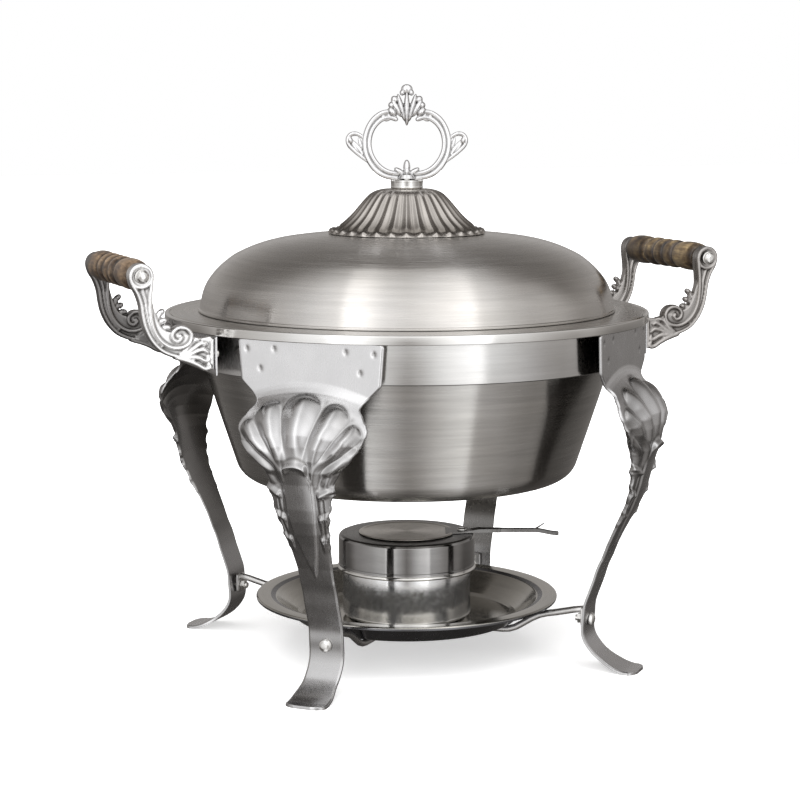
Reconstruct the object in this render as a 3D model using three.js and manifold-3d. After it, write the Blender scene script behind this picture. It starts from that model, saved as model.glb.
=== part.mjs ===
// Round chafer: lift-off dome lid, nested food and water pans, hoop stand with four stamped legs,
// two wood-gripped side handles, and a fuel holder with a swing-out damper on a drip tray.
// Millimetres, +Z up. Origin on the ground at the centre of the round pans. The side handles lie
// along +X and -X, the legs stand on the diagonals.
import * as THREE from "three";
import { mergeVertices } from "three/addons/utils/BufferGeometryUtils.js";
import Module from "manifold-3d";

// ---------------------------------------------------------------- driving dimensions
const GAP = 0.3; // clearance kept between touching pieces
const SEG = 36; // facets round the large turned parts
const RIM_R = 178; // outer radius of the water pan's rolled rim
const RIM_TOP = 256.4; // top of that rim
const RIM_BOTTOM = 249.5; // bottom of its turned-down lip
const BAND_R = 164.2; // outer radius of the stand's hoop
const BAND_T = 1.5;
const BAND_BOTTOM = 220.6;
const BAND_TOP = 253.3;
const PAN_FLOOR = 132; // underside of the water pan
const LEG_T = 2.2; // leg sheet
const SHIELD_R = 168; // distance of the flat shield's front face from the axis
const SHIELD_TOP = 249.2;
const SCREW_Z = 35.5; // height of the leg screws
const HANDLE_X = 218.2; // grip axis
const HANDLE_Z = 292;
const GRIP_HALF = 52; // half length of the wooden grip
const GRIP_R = 11;
const BRACKET_T = 10; // thickness of a cast bracket
const PLATE_X = 167.5; // front face of a handle plate
const PLATE_T = 1.6;
const PLATE_HALF = 63;
const BAR_R = 2.5; // cross bars
const BAR_Z = 21.4;
const TRAY_R = 112.9;
const TRAY_TOP = 42.7;
const CUP_R = 48;
const CUP_BOTTOM = 25.7;
const CUP_TOP = 86.4;
const COVER_R = 51;
const COVER_TOP = 88.1;
const COVER_HOLE_R = 34;
const DAMPER_R = 36;
const DAMPER_PIVOT = 41.5; // distance of the rivet from the axis
const DAMPER_TIP = 114; // reach of the damper's handle
const TURN = THREE.MathUtils.degToRad(-22.2); // the lid loop and the damper's handle both lie along this direction
const LOOP_BASE = 351.7;

// ---------------------------------------------------------------- solids
const wasm = await Module();
wasm.setup();

function solid(geometry) {
  const g = geometry.index ? geometry.toNonIndexed() : geometry.clone();
  const bare = new THREE.BufferGeometry().setAttribute("position", g.getAttribute("position"));
  const merged = mergeVertices(bare, 1e-3);
  const index = merged.index.array;
  const build = (flip) => {
    const tris = [];
    for (let i = 0; i < index.length; i += 3) {
      const [a, b, c] = [index[i], index[i + 1], index[i + 2]];
      if (a !== b && b !== c && a !== c) tris.push(a, flip ? c : b, flip ? b : c);
    }
    return new wasm.Manifold(
      new wasm.Mesh({
        numProp: 3,
        vertProperties: merged.attributes.position.array,
        triVerts: Uint32Array.from(tris),
      }),
    );
  };
  const made = build(false);
  return made.volume() < 0 ? build(true) : made;
}

function geometryOf(s) {
  const m = s.getMesh();
  const v = new Float32Array(m.numVert * 3);
  for (let i = 0; i < m.numVert; i++)
    v.set(m.vertProperties.subarray(i * m.numProp, i * m.numProp + 3), i * 3);
  const g = new THREE.BufferGeometry();
  g.setAttribute("position", new THREE.BufferAttribute(v, 3));
  g.setIndex(new THREE.BufferAttribute(new Uint32Array(m.triVerts), 1));
  g.computeVertexNormals();
  return g;
}

// A turned solid about Z from [radius, z] points: from axis to axis, or a closed ring.
function turned(points, segments = SEG) {
  const p = points.map(([r, z]) => new THREE.Vector2(r, z));
  if (points[0][0] > 1e-6 || points[points.length - 1][0] > 1e-6) p.push(p[0].clone());
  return solid(new THREE.LatheGeometry(p, segments).rotateX(Math.PI / 2));
}

// A prism of the outline [a, b] in the XZ plane, from y0 to y1.
function prismXZ(outline, y0, y1, bevel = 0) {
  const shape = new THREE.Shape(outline.map(([x, z]) => new THREE.Vector2(x, z)));
  const g = new THREE.ExtrudeGeometry(shape, {
    depth: y1 - y0 - 2 * bevel,
    bevelEnabled: bevel > 0,
    bevelThickness: bevel,
    bevelSize: bevel,
    bevelOffset: -bevel,
    bevelSegments: 1,
    curveSegments: 8,
  });
  return solid(g.translate(0, 0, bevel).rotateX(Math.PI / 2).translate(0, y1, 0));
}

// A round bar of radius r along a smooth curve through the points.
function bar(points, r, sides, steps) {
  const curve = new THREE.CatmullRomCurve3(points.map((q) => new THREE.Vector3(...q)), false, "centripetal");
  const shape = new THREE.Shape();
  for (let i = 0; i < sides; i++) {
    const t = ((i + 0.5) / sides) * 2 * Math.PI;
    const [x, y] = [r * Math.cos(t), r * Math.sin(t)];
    i ? shape.lineTo(x, y) : shape.moveTo(x, y);
  }
  shape.closePath();
  return solid(new THREE.ExtrudeGeometry(shape, { steps, extrudePath: curve, curveSegments: 1 }));
}

// A round bar of radius r with mitred corners at each [x, z] point, in the XZ plane.
function cranked(points, r, sides = 8) {
  const v = [];
  const index = [];
  points.forEach(([x, z], i) => {
    const dir = (a, b) => new THREE.Vector2(b[0] - a[0], b[1] - a[1]).normalize();
    const before = i ? dir(points[i - 1], points[i]) : dir(points[0], points[1]);
    const after = i < points.length - 1 ? dir(points[i], points[i + 1]) : before;
    const t = before.clone().add(after).normalize();
    const reach = r / t.dot(before);
    for (let k = 0; k < sides; k++) {
      const a = ((k + 0.5) / sides) * 2 * Math.PI;
      v.push(x - t.y * reach * Math.cos(a), r * Math.sin(a), z + t.x * reach * Math.cos(a));
    }
  });
  for (let i = 0; i < points.length - 1; i++)
    for (let k = 0; k < sides; k++) {
      const [a, b] = [i * sides + k, i * sides + ((k + 1) % sides)];
      index.push(a, b, b + sides, a, b + sides, a + sides);
    }
  const last = (points.length - 1) * sides;
  for (let k = 1; k < sides - 1; k++) index.push(0, k + 1, k, last, last + k, last + k + 1);
  const g = new THREE.BufferGeometry();
  g.setAttribute("position", new THREE.Float32BufferAttribute(v, 3));
  g.setIndex(index);
  return solid(g);
}

// A straight cylinder between two points.
function pin(a, b, r, sides = 12) {
  const [p, q] = [new THREE.Vector3(...a), new THREE.Vector3(...b)];
  const d = q.clone().sub(p);
  const g = new THREE.CylinderGeometry(r, r, d.length(), sides);
  const turn = new THREE.Quaternion().setFromUnitVectors(new THREE.Vector3(0, 1, 0), d.clone().normalize());
  g.applyQuaternion(turn).translate((p.x + q.x) / 2, (p.y + q.y) / 2, (p.z + q.z) / 2);
  return solid(g);
}

function block(x0, x1, y0, y1, z0, z1) {
  return solid(
    new THREE.BoxGeometry(x1 - x0, y1 - y0, z1 - z0).translate((x0 + x1) / 2, (y0 + y1) / 2, (z0 + z1) / 2),
  );
}

// ---------------------------------------------------------------- materials
const steel = (c, rough) =>
  new THREE.MeshStandardMaterial({ color: new THREE.Color(...c), roughness: rough, metalness: 1 });
const LOOKS = {
  brushed: steel([0.6, 0.57, 0.54], 0.32),
  pan: steel([0.55, 0.53, 0.5], 0.3),
  inner: steel([0.66, 0.65, 0.63], 0.25),
  leg: steel([0.58, 0.58, 0.58], 0.36),
  cast: steel([0.86, 0.86, 0.87], 0.2),
  cap: steel([0.6, 0.55, 0.5], 0.3),
  tray: steel([0.5, 0.47, 0.43], 0.25),
  holder: steel([0.55, 0.54, 0.52], 0.22),
  hardware: steel([0.75, 0.75, 0.76], 0.25),
  wood: new THREE.MeshStandardMaterial({ color: new THREE.Color(0.36, 0.2, 0.11), roughness: 0.45, metalness: 0 }),
};

const root = new THREE.Group();
function piece(name, s, look, parent = root) {
  const mesh = new THREE.Mesh(geometryOf(s), LOOKS[look]);
  mesh.name = name;
  parent.add(mesh);
  return mesh;
}
function turnedGroup(angle) {
  const g = new THREE.Group();
  g.rotation.z = angle;
  root.add(g);
  return g;
}

// ---------------------------------------------------------------- stand: hoop
piece(
  "frame_band",
  turned([
    [BAND_R - BAND_T, BAND_BOTTOM],
    [BAND_R, BAND_BOTTOM],
    [BAND_R, BAND_TOP],
    [BAND_R - BAND_T, BAND_TOP],
  ]),
  "brushed",
);

// ---------------------------------------------------------------- stand: legs
// Front face of the leg from the top of the shield to the toe, one row per height:
// [z at the middle, distance from the axis at the middle, half width, how far the edge falls back,
// how far the edge hangs below the middle].
const LEG_ROWS = [
  [SHIELD_TOP, SHIELD_R, 52, 0, 0],
  [236, SHIELD_R, 52, 0, 0],
  [222, SHIELD_R, 52, 0, 0],
  [217.5, 168.8, 45, 0.5, 4],
  [213, 171.5, 39, 2, 9],
  [210, 179, 41, 8, 12],
  [205, 186, 45, 9.5, 12],
  [198, 191.5, 47, 12.5, 9],
  [190, 195, 46, 16, 5],
  [181, 196, 41, 15, 3],
  [170, 194.2, 33, 10, 2],
  [156, 189, 25.5, 6, 1],
  [144, 186, 22.5, 4, 0],
  [132, 183, 19, 3, 0],
  [120, 178, 16.8, 2.5, 0],
  [108, 171.5, 14.8, 2, 0],
  [96, 165.2, 13.4, 1.2, 0],
  [84, 159.5, 13, 0.6, 0],
  [70, 153.4, 13, 0, 0],
  [56, 148.6, 13, 0, 0],
  [47, 145.5, 13, 0, 0],
  [38, 144.8, 13, 0, 0],
  [29, 144.1, 13, 0, 0],
  [24.5, 145, 13, 0, 0],
  [20, 147.4, 13.1, 0, 0],
  [15, 151.4, 13.3, 0, 0],
  [10.2, 157.2, 13.7, 0, 0],
  [6, 163.8, 14.1, 0, 0],
  [3.1, 169.2, 14.5, 0, 0],
  [LEG_T, 172.4, 14.7, 0, 0],
  [LEG_T, 178, 15, 0, 0],
  [LEG_T, 182, 12.5, 0, 0],
  [LEG_T, 183.4, 9, 0, 0],
];
const LEG_COLS = [-1, -0.66, -0.33, 0, 0.33, 0.66, 1];

function legSolid() {
  const rows = LEG_ROWS.length;
  const cols = LEG_COLS.length;
  const front = LEG_ROWS.map(([z, r, half, back, hang]) =>
    LEG_COLS.map((t) => new THREE.Vector3(r - back * t * t, half * t, z - hang * t * t)),
  );
  const behind = front.map((row, i) =>
    row.map((p, j) => {
      if (i >= rows - 4) return p.clone().add(new THREE.Vector3(0, 0, -LEG_T));
      const down = front[Math.min(i + 1, rows - 1)][j].clone().sub(front[Math.max(i - 1, 0)][j]);
      const across = row[Math.min(j + 1, cols - 1)].clone().sub(row[Math.max(j - 1, 0)]);
      const n = across.cross(down).normalize();
      if (n.x < 0 && i < rows - 8) n.negate();
      if (n.z < 0 && i >= rows - 8) n.negate();
      return p.clone().addScaledVector(n, -LEG_T);
    }),
  );
  const at = (side, i, j) => side * rows * cols + i * cols + j;
  const v = [...front.flat(), ...behind.flat()].flatMap((p) => [p.x, p.y, p.z]);
  const index = [];
  const quad = (a, b, c, d) => index.push(a, b, c, a, c, d);
  for (let i = 0; i < rows - 1; i++)
    for (let j = 0; j < cols - 1; j++) {
      quad(at(0, i, j), at(0, i + 1, j), at(0, i + 1, j + 1), at(0, i, j + 1));
      quad(at(1, i, j), at(1, i, j + 1), at(1, i + 1, j + 1), at(1, i + 1, j));
    }
  for (let j = 0; j < cols - 1; j++) {
    quad(at(0, 0, j), at(0, 0, j + 1), at(1, 0, j + 1), at(1, 0, j));
    quad(at(0, rows - 1, j), at(1, rows - 1, j), at(1, rows - 1, j + 1), at(0, rows - 1, j + 1));
  }
  for (let i = 0; i < rows - 1; i++) {
    quad(at(0, i, 0), at(1, i, 0), at(1, i + 1, 0), at(0, i + 1, 0));
    quad(at(0, i, cols - 1), at(0, i + 1, cols - 1), at(1, i + 1, cols - 1), at(1, i, cols - 1));
  }
  const g = new THREE.BufferGeometry();
  g.setAttribute("position", new THREE.Float32BufferAttribute(v, 3));
  g.setIndex(index);
  return solid(g).subtract(pin([130, 0, SCREW_Z], [160, 0, SCREW_Z], 2.6));
}
const leg = legSolid();
const LEGS = [
  ["front_left", -135],
  ["front_right", -45],
  ["rear_right", 45],
  ["rear_left", 135],
];
const screw = turned(
  [
    [0, -11],
    [2.1, -11],
    [2.1, 0],
    [4.8, 0],
    [4.5, 1.5],
    [3, 2.8],
    [0, 3.3],
  ],
  10,
);
const hexNut = turned(
  [
    [2.5, 0],
    [3.8, 0],
    [3.8, 3],
    [2.5, 3],
  ],
  6,
);
for (const [where, degrees] of LEGS) {
  const g = turnedGroup(THREE.MathUtils.degToRad(degrees));
  piece("leg_" + where, leg, "leg", g);
  const s = piece("leg_screw_" + where, screw, "hardware", g);
  s.rotation.y = Math.PI / 2;
  s.position.set(145.05, 0, SCREW_Z);
  const n = piece("leg_nut_" + where, hexNut, "hardware", g);
  n.rotation.y = -Math.PI / 2;
  n.position.set(138.9, 0, SCREW_Z);
}

// ---------------------------------------------------------------- stand: crossed bars under the tray
function crossBar(dip) {
  const half = [
    [139.9, 42.4],
    [133, 42.2],
    [118, 36.9],
    [106, 36.6],
    [84.5, BAR_Z],
  ];
  if (dip) half.push([16, BAR_Z], [8, BAR_Z - dip]);
  const left = [...half].reverse().map(([r, z]) => [-r, z]);
  const tab = block(139.2, 141.2, -6, 6, 30, 45).subtract(
    pin([130, 0, SCREW_Z], [150, 0, SCREW_Z], 2.6),
  );
  const other = block(-141.2, -139.2, -6, 6, 30, 45).subtract(
    pin([-130, 0, SCREW_Z], [-150, 0, SCREW_Z], 2.6),
  );
  return cranked([...half, ...left], BAR_R).add(tab).add(other);
}
piece("cross_bar_upper", crossBar(0), "hardware", turnedGroup(Math.PI / 4));
piece("cross_bar_lower", crossBar(2 * BAR_R + 0.4), "hardware", turnedGroup(-Math.PI / 4));

// ---------------------------------------------------------------- stand: side handles
// Side view of a bracket, distance from the axis against height: head, outer S curve, foot, inner curve.
const HEAD_R = 11;
const BRACKET = [
  [167.8, 224.5],
  [178, 229.7],
  [189, 232.4],
  [198.3, 234.3],
  [206, 238.3],
  [213, 246.5],
  [217.6, 256.5],
  [219.2, 267],
  [222.6, 278],
  [227.4, 286],
  [229.2, 292],
  [227.4, 298],
  [222.6, 302.1],
  [218.2, 303],
  [212.7, 301.5],
  [208.6, 297.4],
  [207.2, 292],
  [206.2, 284],
  [206.6, 274],
  [203.4, 266.5],
  [204.6, 260],
  [198, 253.8],
  [188, 251.8],
  [176, 250],
  [171.2, 249.1],
  [167.8, 249.1],
];
const grip = turned(
  [
    [2.7, -GRIP_HALF],
    [9.2, -GRIP_HALF],
    [10.6, -50],
    [10.6, -45],
    [9.2, -42],
    [GRIP_R, -32],
    [9.4, -22],
    [GRIP_R, -11],
    [9.4, 0],
    [GRIP_R, 11],
    [9.4, 22],
    [GRIP_R, 32],
    [9.2, 42],
    [10.6, 45],
    [10.6, 50],
    [9.2, GRIP_HALF],
    [2.7, GRIP_HALF],
  ],
  14,
);
const gripNut = turned(
  [
    [0, 2],
    [2.5, 2],
    [2.5, 0],
    [4.6, 0],
    [4.4, 1.8],
    [3, 3.4],
    [0, 4],
  ],
  12,
);
const rivet = turned(
  [
    [0, -1.9],
    [2.6, -1.7],
    [4, 0],
    [2.2, 0],
    [2.2, 8.2],
    [0, 8.2],
  ],
  10,
);
for (const [side, turn] of [
  ["right", 0],
  ["left", Math.PI],
]) {
  const g = turnedGroup(turn);
  // In this group +X points outwards; "near" is the end at -Y of the part's own frame.
  piece("handle_plate_" + side, (() => {
    let p = block(PLATE_X - PLATE_T, PLATE_X, -PLATE_HALF, PLATE_HALF, 222.4, SHIELD_TOP);
    for (const y of [-57.3, 57.3]) p = p.subtract(pin([160, y, 237], [175, y, 237], 2.6, 10));
    return p;
  })(), "leg", g);
  for (const end of [-1, 1]) {
    const where = side + "_" + (end * (turn ? -1 : 1) < 0 ? "front" : "rear");
    const [y0, y1] = end < 0 ? [-GRIP_HALF - GAP - BRACKET_T, -GRIP_HALF - GAP] : [GRIP_HALF + GAP, GRIP_HALF + GAP + BRACKET_T];
    const bracket = prismXZ(BRACKET, y0, y1, 1)
      .subtract(pin([HANDLE_X, y0 - 5, HANDLE_Z], [HANDLE_X, y1 + 5, HANDLE_Z], 2.6))
      .subtract(pin([160, end * 57.3, 237], [174.6, end * 57.3, 237], 2.6, 10));
    piece("handle_bracket_" + where, bracket, "cast", g);
    const r = piece("bracket_rivet_" + where, rivet, "hardware", g);
    r.rotation.y = Math.PI / 2;
    r.position.set(PLATE_X - PLATE_T - GAP, end * 57.3, 237);
    const n = piece("grip_nut_" + where, gripNut, "hardware", g);
    n.rotation.x = (end < 0 ? 1 : -1) * (Math.PI / 2);
    n.position.set(HANDLE_X, end * (GRIP_HALF + BRACKET_T + 2 * GAP), HANDLE_Z);
  }
  const wood = piece("wood_grip_" + side, grip, "wood", g);
  wood.rotation.x = Math.PI / 2;
  wood.position.set(HANDLE_X, 0, HANDLE_Z);
  piece(
    "grip_rod_" + side,
    pin([HANDLE_X, -64.2, HANDLE_Z], [HANDLE_X, 64.2, HANDLE_Z], 2.2, 10),
    "hardware",
    g,
  );
}

// ---------------------------------------------------------------- water pan
piece(
  "water_pan",
  turned([
    [0, PAN_FLOOR],
    [109.5, PAN_FLOOR],
    [117.1, 133.7],
    [123.1, 138.2],
    [126.7, 144.8],
    [144.1, 198],
    [160.9, 252.6],
    [162.4, 253.6],
    [176.2, 253.6],
    [176.4, RIM_BOTTOM],
    [RIM_R, RIM_BOTTOM],
    [RIM_R, 255.6],
    [177.2, RIM_TOP],
    [175.4, RIM_TOP],
    [174.6, 254.9],
    [162, 254.9],
    [159.9, 253.4],
    [142.9, 198],
    [125.6, 145.2],
    [122.2, 139],
    [116.6, 134.8],
    [109.5, 133.2],
    [0, 133.2],
  ]),
  "pan",
);

// ---------------------------------------------------------------- food pan
piece(
  "food_pan",
  turned([
    [0, 190],
    [121, 190],
    [127.3, 191.4],
    [132.3, 195.2],
    [135.4, 200.7],
    [151.4, 254],
    [152.4, 255.2],
    [174.1, 255.2],
    [174.1, 256.2],
    [151.6, 256.2],
    [150.4, 254.8],
    [134.4, 201],
    [131.6, 195.8],
    [126.9, 192.3],
    [121, 191],
    [0, 191],
  ]),
  "inner",
);

// ---------------------------------------------------------------- lid
piece(
  "lid_dome",
  turned([
    [3.3, 313.4],
    [40, 312.9],
    [58, 312.3],
    [82, 310.3],
    [104, 306.2],
    [121, 300],
    [132.5, 293],
    [141, 285.2],
    [146.6, 278],
    [150.4, 270],
    [152, 263],
    [153.4, 257.5],
    [153.4, 256.5],
    [148.4, 256.5],
    [148.4, 251.5],
    [147.4, 251.5],
    [147.4, 257.5],
    [151.9, 257.5],
    [151, 263],
    [149.4, 270],
    [145.6, 277.4],
    [140.2, 284.5],
    [131.9, 292.1],
    [120.6, 299],
    [103.7, 305.2],
    [81.9, 309.3],
    [58, 311.3],
    [40, 311.9],
    [3.3, 312.4],
  ]),
  "brushed",
);
piece(
  "lid_fluted_cap",
  turned([
    [58.2, 312.7],
    [58.2, 313.6],
    [53, 316.6],
    [43.2, 323.8],
    [35.4, 332.3],
    [28.6, 340.4],
    [24, 343.2],
    [17, 344.8],
    [3.3, 344.8],
    [3.3, 343.8],
    [16.8, 343.8],
    [23.5, 342.2],
    [27.9, 339.7],
    [34.5, 331.8],
    [42.5, 323.1],
    [52.4, 315.7],
    [56.8, 312.7],
  ]),
  "cap",
);
piece(
  "lid_collar",
  turned(
    [
      [3.3, 345.1],
      [11.2, 345.1],
      [12, 346.2],
      [12, 350.4],
      [11.2, 351.4],
      [3.3, 351.4],
    ],
    20,
  ),
  "cast",
);
// The cast loop: a stem on the collar, the open ring, a curled leaf each side and a shell ornament on top.
function loopSolid() {
  const half = [
    [0, 354.6],
    [10, 355],
    [19, 358.4],
    [26, 365],
    [29.8, 373.5],
    [30, 381],
    [27, 390],
    [20, 398],
    [10, 403.5],
    [-4, 405],
  ];
  const side = (m) =>
    bar([[-4 * m, 0, 354.8], ...half.map(([s, z]) => [m * s, 0, z])], 2.7, 8, 16);
  const curl = (m) =>
    bar(
      [
        [27, 367],
        [35, 368.6],
        [41.5, 373.6],
        [42.2, 380],
        [38, 382.8],
      ].map(([s, z]) => [m * s, 0, z]),
      2.3,
      6,
      8,
    );
  const stem = turned(
    [
      [0, LOOP_BASE],
      [8.5, LOOP_BASE],
      [8.5, 354],
      [5, 358],
      [2.4, 364.5],
      [0, 364.5],
    ],
    10,
  );
  const crest = solid(new THREE.SphereGeometry(1, 12, 8).rotateX(Math.PI / 2).scale(13.2, 5, 15).translate(0, 0, 405.9));
  const bore = turned([[0, 345], [2.9, 345], [2.9, 358], [0, 358]], 10);
  return side(1).add(side(-1)).add(curl(1)).add(curl(-1)).add(stem).add(crest).subtract(bore);
}
const lidGroup = turnedGroup(TURN);
piece("lid_handle_loop", loopSolid(), "cast", lidGroup);
piece(
  "lid_handle_screw",
  turned(
    [
      [0, 306.6],
      [5.2, 306.6],
      [6.5, 308],
      [6.5, 310.6],
      [2.6, 310.6],
      [2.6, 357.4],
      [0, 357.4],
    ],
    12,
  ),
  "hardware",
);
piece(
  "lid_handle_washer",
  turned(
    [
      [3, 310.9],
      [9.5, 310.9],
      [9.5, 311.9],
      [3, 311.9],
    ],
    14,
  ),
  "hardware",
);

// ---------------------------------------------------------------- fuel tray, cup, cover and damper
piece(
  "fuel_tray",
  turned([
    [0, 24.2],
    [79.8, 24.2],
    [83, 25.4],
    [99, 40],
    [101.8, 41.3],
    [111.5, 41.3],
    [111.5, 39.8],
    [TRAY_R, 39.8],
    [TRAY_R, TRAY_TOP],
    [101.2, 42.5],
    [98, 41],
    [82.2, 26.6],
    [79.4, 25.4],
    [0, 25.4],
  ]),
  "tray",
);
piece(
  "fuel_cup",
  turned(
    [
      [0, CUP_BOTTOM],
      [45, CUP_BOTTOM],
      [CUP_R, 28.7],
      [CUP_R, CUP_TOP],
      [CUP_R - 1.1, CUP_TOP],
      [CUP_R - 1.1, 29.2],
      [44.5, 26.8],
      [0, 26.8],
    ],
    28,
  ),
  "holder",
);
const rivetAt = new THREE.Vector3(DAMPER_PIVOT, 0, 0).applyAxisAngle(new THREE.Vector3(0, 0, 1), TURN);
piece(
  "fuel_cover",
  turned(
    [
      [COVER_HOLE_R, 86.9],
      [49.8, 86.9],
      [49.8, 61.8],
      [52, 61.8],
      [52, 63.8],
      [COVER_R, 64.8],
      [COVER_R, 87],
      [49.9, COVER_TOP],
      [COVER_HOLE_R, COVER_TOP],
    ],
    28,
  ).subtract(pin([rivetAt.x, rivetAt.y, 80], [rivetAt.x, rivetAt.y, 92], 2.6, 10)),
  "holder",
);
const fuelGroup = turnedGroup(TURN);
function damperSolid() {
  const plate = turned([[0, 88.4], [DAMPER_R - 0.6, 88.4], [DAMPER_R, 89], [DAMPER_R - 0.6, 89.6], [0, 89.6]], 28);
  const arm = new THREE.Shape(
    [
      [30, -10],
      [41, -7],
      [52, -4.6],
      [66, -3.4],
      [68.5, -3.6],
      [71, -2.6],
      [DAMPER_TIP - 1, -2.4],
      [DAMPER_TIP, -1.4],
      [DAMPER_TIP, 1.4],
      [DAMPER_TIP - 1, 2.4],
      [71, 2.6],
      [68.5, 3.6],
      [66, 3.4],
      [52, 4.6],
      [41, 7],
      [30, 10],
    ].map(([x, y]) => new THREE.Vector2(x, y)),
  );
  const strip = solid(new THREE.ExtrudeGeometry(arm, { depth: 1.2, bevelEnabled: false }).translate(0, 0, 88.4));
  const tab = prismXZ(
    [
      [91, 89.2],
      [95, 89.2],
      [103.4, 94.4],
      [102.6, 95.4],
      [93.6, 90.6],
      [91, 90],
    ],
    -2.2,
    2.2,
  );
  return plate
    .add(strip)
    .add(tab)
    .subtract(pin([DAMPER_PIVOT, 0, 80], [DAMPER_PIVOT, 0, 95], 2.6, 10));
}
piece("damper", damperSolid(), "holder", fuelGroup);
const dr = piece(
  "damper_rivet",
  turned(
    [
      [0, 85],
      [3, 85],
      [3, 86.6],
      [2.1, 86.6],
      [2.1, 89.9],
      [3.6, 89.9],
      [3.2, 91],
      [0, 91.6],
    ],
    10,
  ),
  "hardware",
  fuelGroup,
);
dr.position.set(DAMPER_PIVOT, 0, 0);

export default root;
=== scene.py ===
import math

import bmesh
import bpy
import numpy as np
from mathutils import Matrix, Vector, noise


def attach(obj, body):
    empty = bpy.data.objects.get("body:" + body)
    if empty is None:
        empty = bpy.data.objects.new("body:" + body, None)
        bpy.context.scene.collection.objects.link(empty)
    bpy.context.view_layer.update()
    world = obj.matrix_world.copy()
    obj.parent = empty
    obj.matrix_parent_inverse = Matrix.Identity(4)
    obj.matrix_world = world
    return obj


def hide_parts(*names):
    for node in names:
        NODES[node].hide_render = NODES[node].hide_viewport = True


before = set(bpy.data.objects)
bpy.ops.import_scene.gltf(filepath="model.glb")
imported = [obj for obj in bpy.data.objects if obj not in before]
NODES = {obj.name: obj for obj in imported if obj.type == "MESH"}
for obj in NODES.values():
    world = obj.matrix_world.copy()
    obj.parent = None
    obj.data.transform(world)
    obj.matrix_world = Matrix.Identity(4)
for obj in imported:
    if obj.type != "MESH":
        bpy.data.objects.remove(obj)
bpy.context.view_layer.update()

MM = 0.001
scene = bpy.context.scene
TURN = math.radians(-22.2)  # the way the lid's loop and the damper's handle lie


# ------------------------------------------------------------------ number helpers
def sstep(a, b, x):
    t = np.clip((np.asarray(x, float) - a) / (b - a), 0, 1)
    return t * t * (3 - 2 * t)


def bump(x, c, s):
    return np.exp(-(((np.asarray(x, float) - c) / s) ** 2))


def table(rows, x, col=1):
    rows = sorted(rows)
    return np.interp(x, [r[0] for r in rows], [r[col] for r in rows])


def catmull(pts, per=8):
    """Points of a smooth curve through pts."""
    p = [np.array(q, float) for q in pts]
    p = [2 * p[0] - p[1]] + p + [2 * p[-1] - p[-2]]
    out = []
    for i in range(1, len(p) - 2):
        for k in range(per):
            t = k / per
            out.append(
                0.5
                * (
                    2 * p[i]
                    + (p[i + 1] - p[i - 1]) * t
                    + (2 * p[i - 1] - 5 * p[i] + 4 * p[i + 1] - p[i + 2]) * t * t
                    + (3 * p[i] - 3 * p[i + 1] + p[i + 2] - p[i - 1]) * t**3
                )
            )
    out.append(p[-2])
    return out


def rounded(pts, rad=0.5, steps=4, closed=False):
    """The outline with its corners turned into small curves; a point may carry its own radius as a third number."""
    out = []
    n = len(pts)
    for i, q in enumerate(pts):
        b = np.array(q[:2], float)
        if not closed and i in (0, n - 1):
            out.append(b)
            continue
        a, c = np.array(pts[i - 1][:2], float), np.array(pts[(i + 1) % n][:2], float)
        r = q[2] if len(q) > 2 else rad
        u, v = a - b, c - b
        lu, lv = np.linalg.norm(u), np.linalg.norm(v)
        u, v = u / lu, v / lv
        ang = math.acos(float(np.clip(u @ v, -1, 1)))
        if r <= 0 or ang > math.pi - 0.03:
            out.append(b)
            continue
        d = min(r / math.tan(ang / 2), 0.45 * lu, 0.45 * lv)
        for k in range(steps + 1):
            t = k / steps
            out.append((1 - t) ** 2 * (b + u * d) + 2 * t * (1 - t) * b + t * t * (b + v * d))
    return out


# ------------------------------------------------------------------ mesh helpers
def make(name, verts, faces, body, nodes, mat, sharp=38, attrs=None, face_mat=None, outward=True):
    me = bpy.data.meshes.new(name)
    me.from_pydata([tuple(v) for v in (np.asarray(verts, float) * MM)], [], [tuple(f) for f in faces])
    for key, values in (attrs or {}).items():
        at = me.attributes.new(key, "FLOAT", "POINT")
        at.data.foreach_set("value", np.asarray(values, np.float32))
    for m in mat if isinstance(mat, (list, tuple)) else [mat]:
        me.materials.append(m)
    if face_mat is not None:
        me.polygons.foreach_set("material_index", np.asarray(face_mat, np.int32))
    if outward:
        bm = bmesh.new()
        bm.from_mesh(me)
        bmesh.ops.recalc_face_normals(bm, faces=bm.faces)
        bm.to_mesh(me)
        bm.free()
    me.shade_smooth()
    if sharp:
        me.set_sharp_from_angle(angle=math.radians(sharp))
    me.update()
    ob = bpy.data.objects.new(name, me)
    scene.collection.objects.link(ob)
    place(ob, body, nodes)
    return ob


def place(ob, body, nodes):
    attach(ob, body)
    if nodes:
        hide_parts(*([nodes] if isinstance(nodes, str) else nodes))


def copy_of(ob, name, body, nodes, rot=0.0, loc=(0, 0, 0)):
    o = bpy.data.objects.new(name, ob.data)
    scene.collection.objects.link(o)
    o.rotation_euler = (0, 0, rot)
    o.location = loc
    place(o, body, nodes)
    return o


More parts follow.
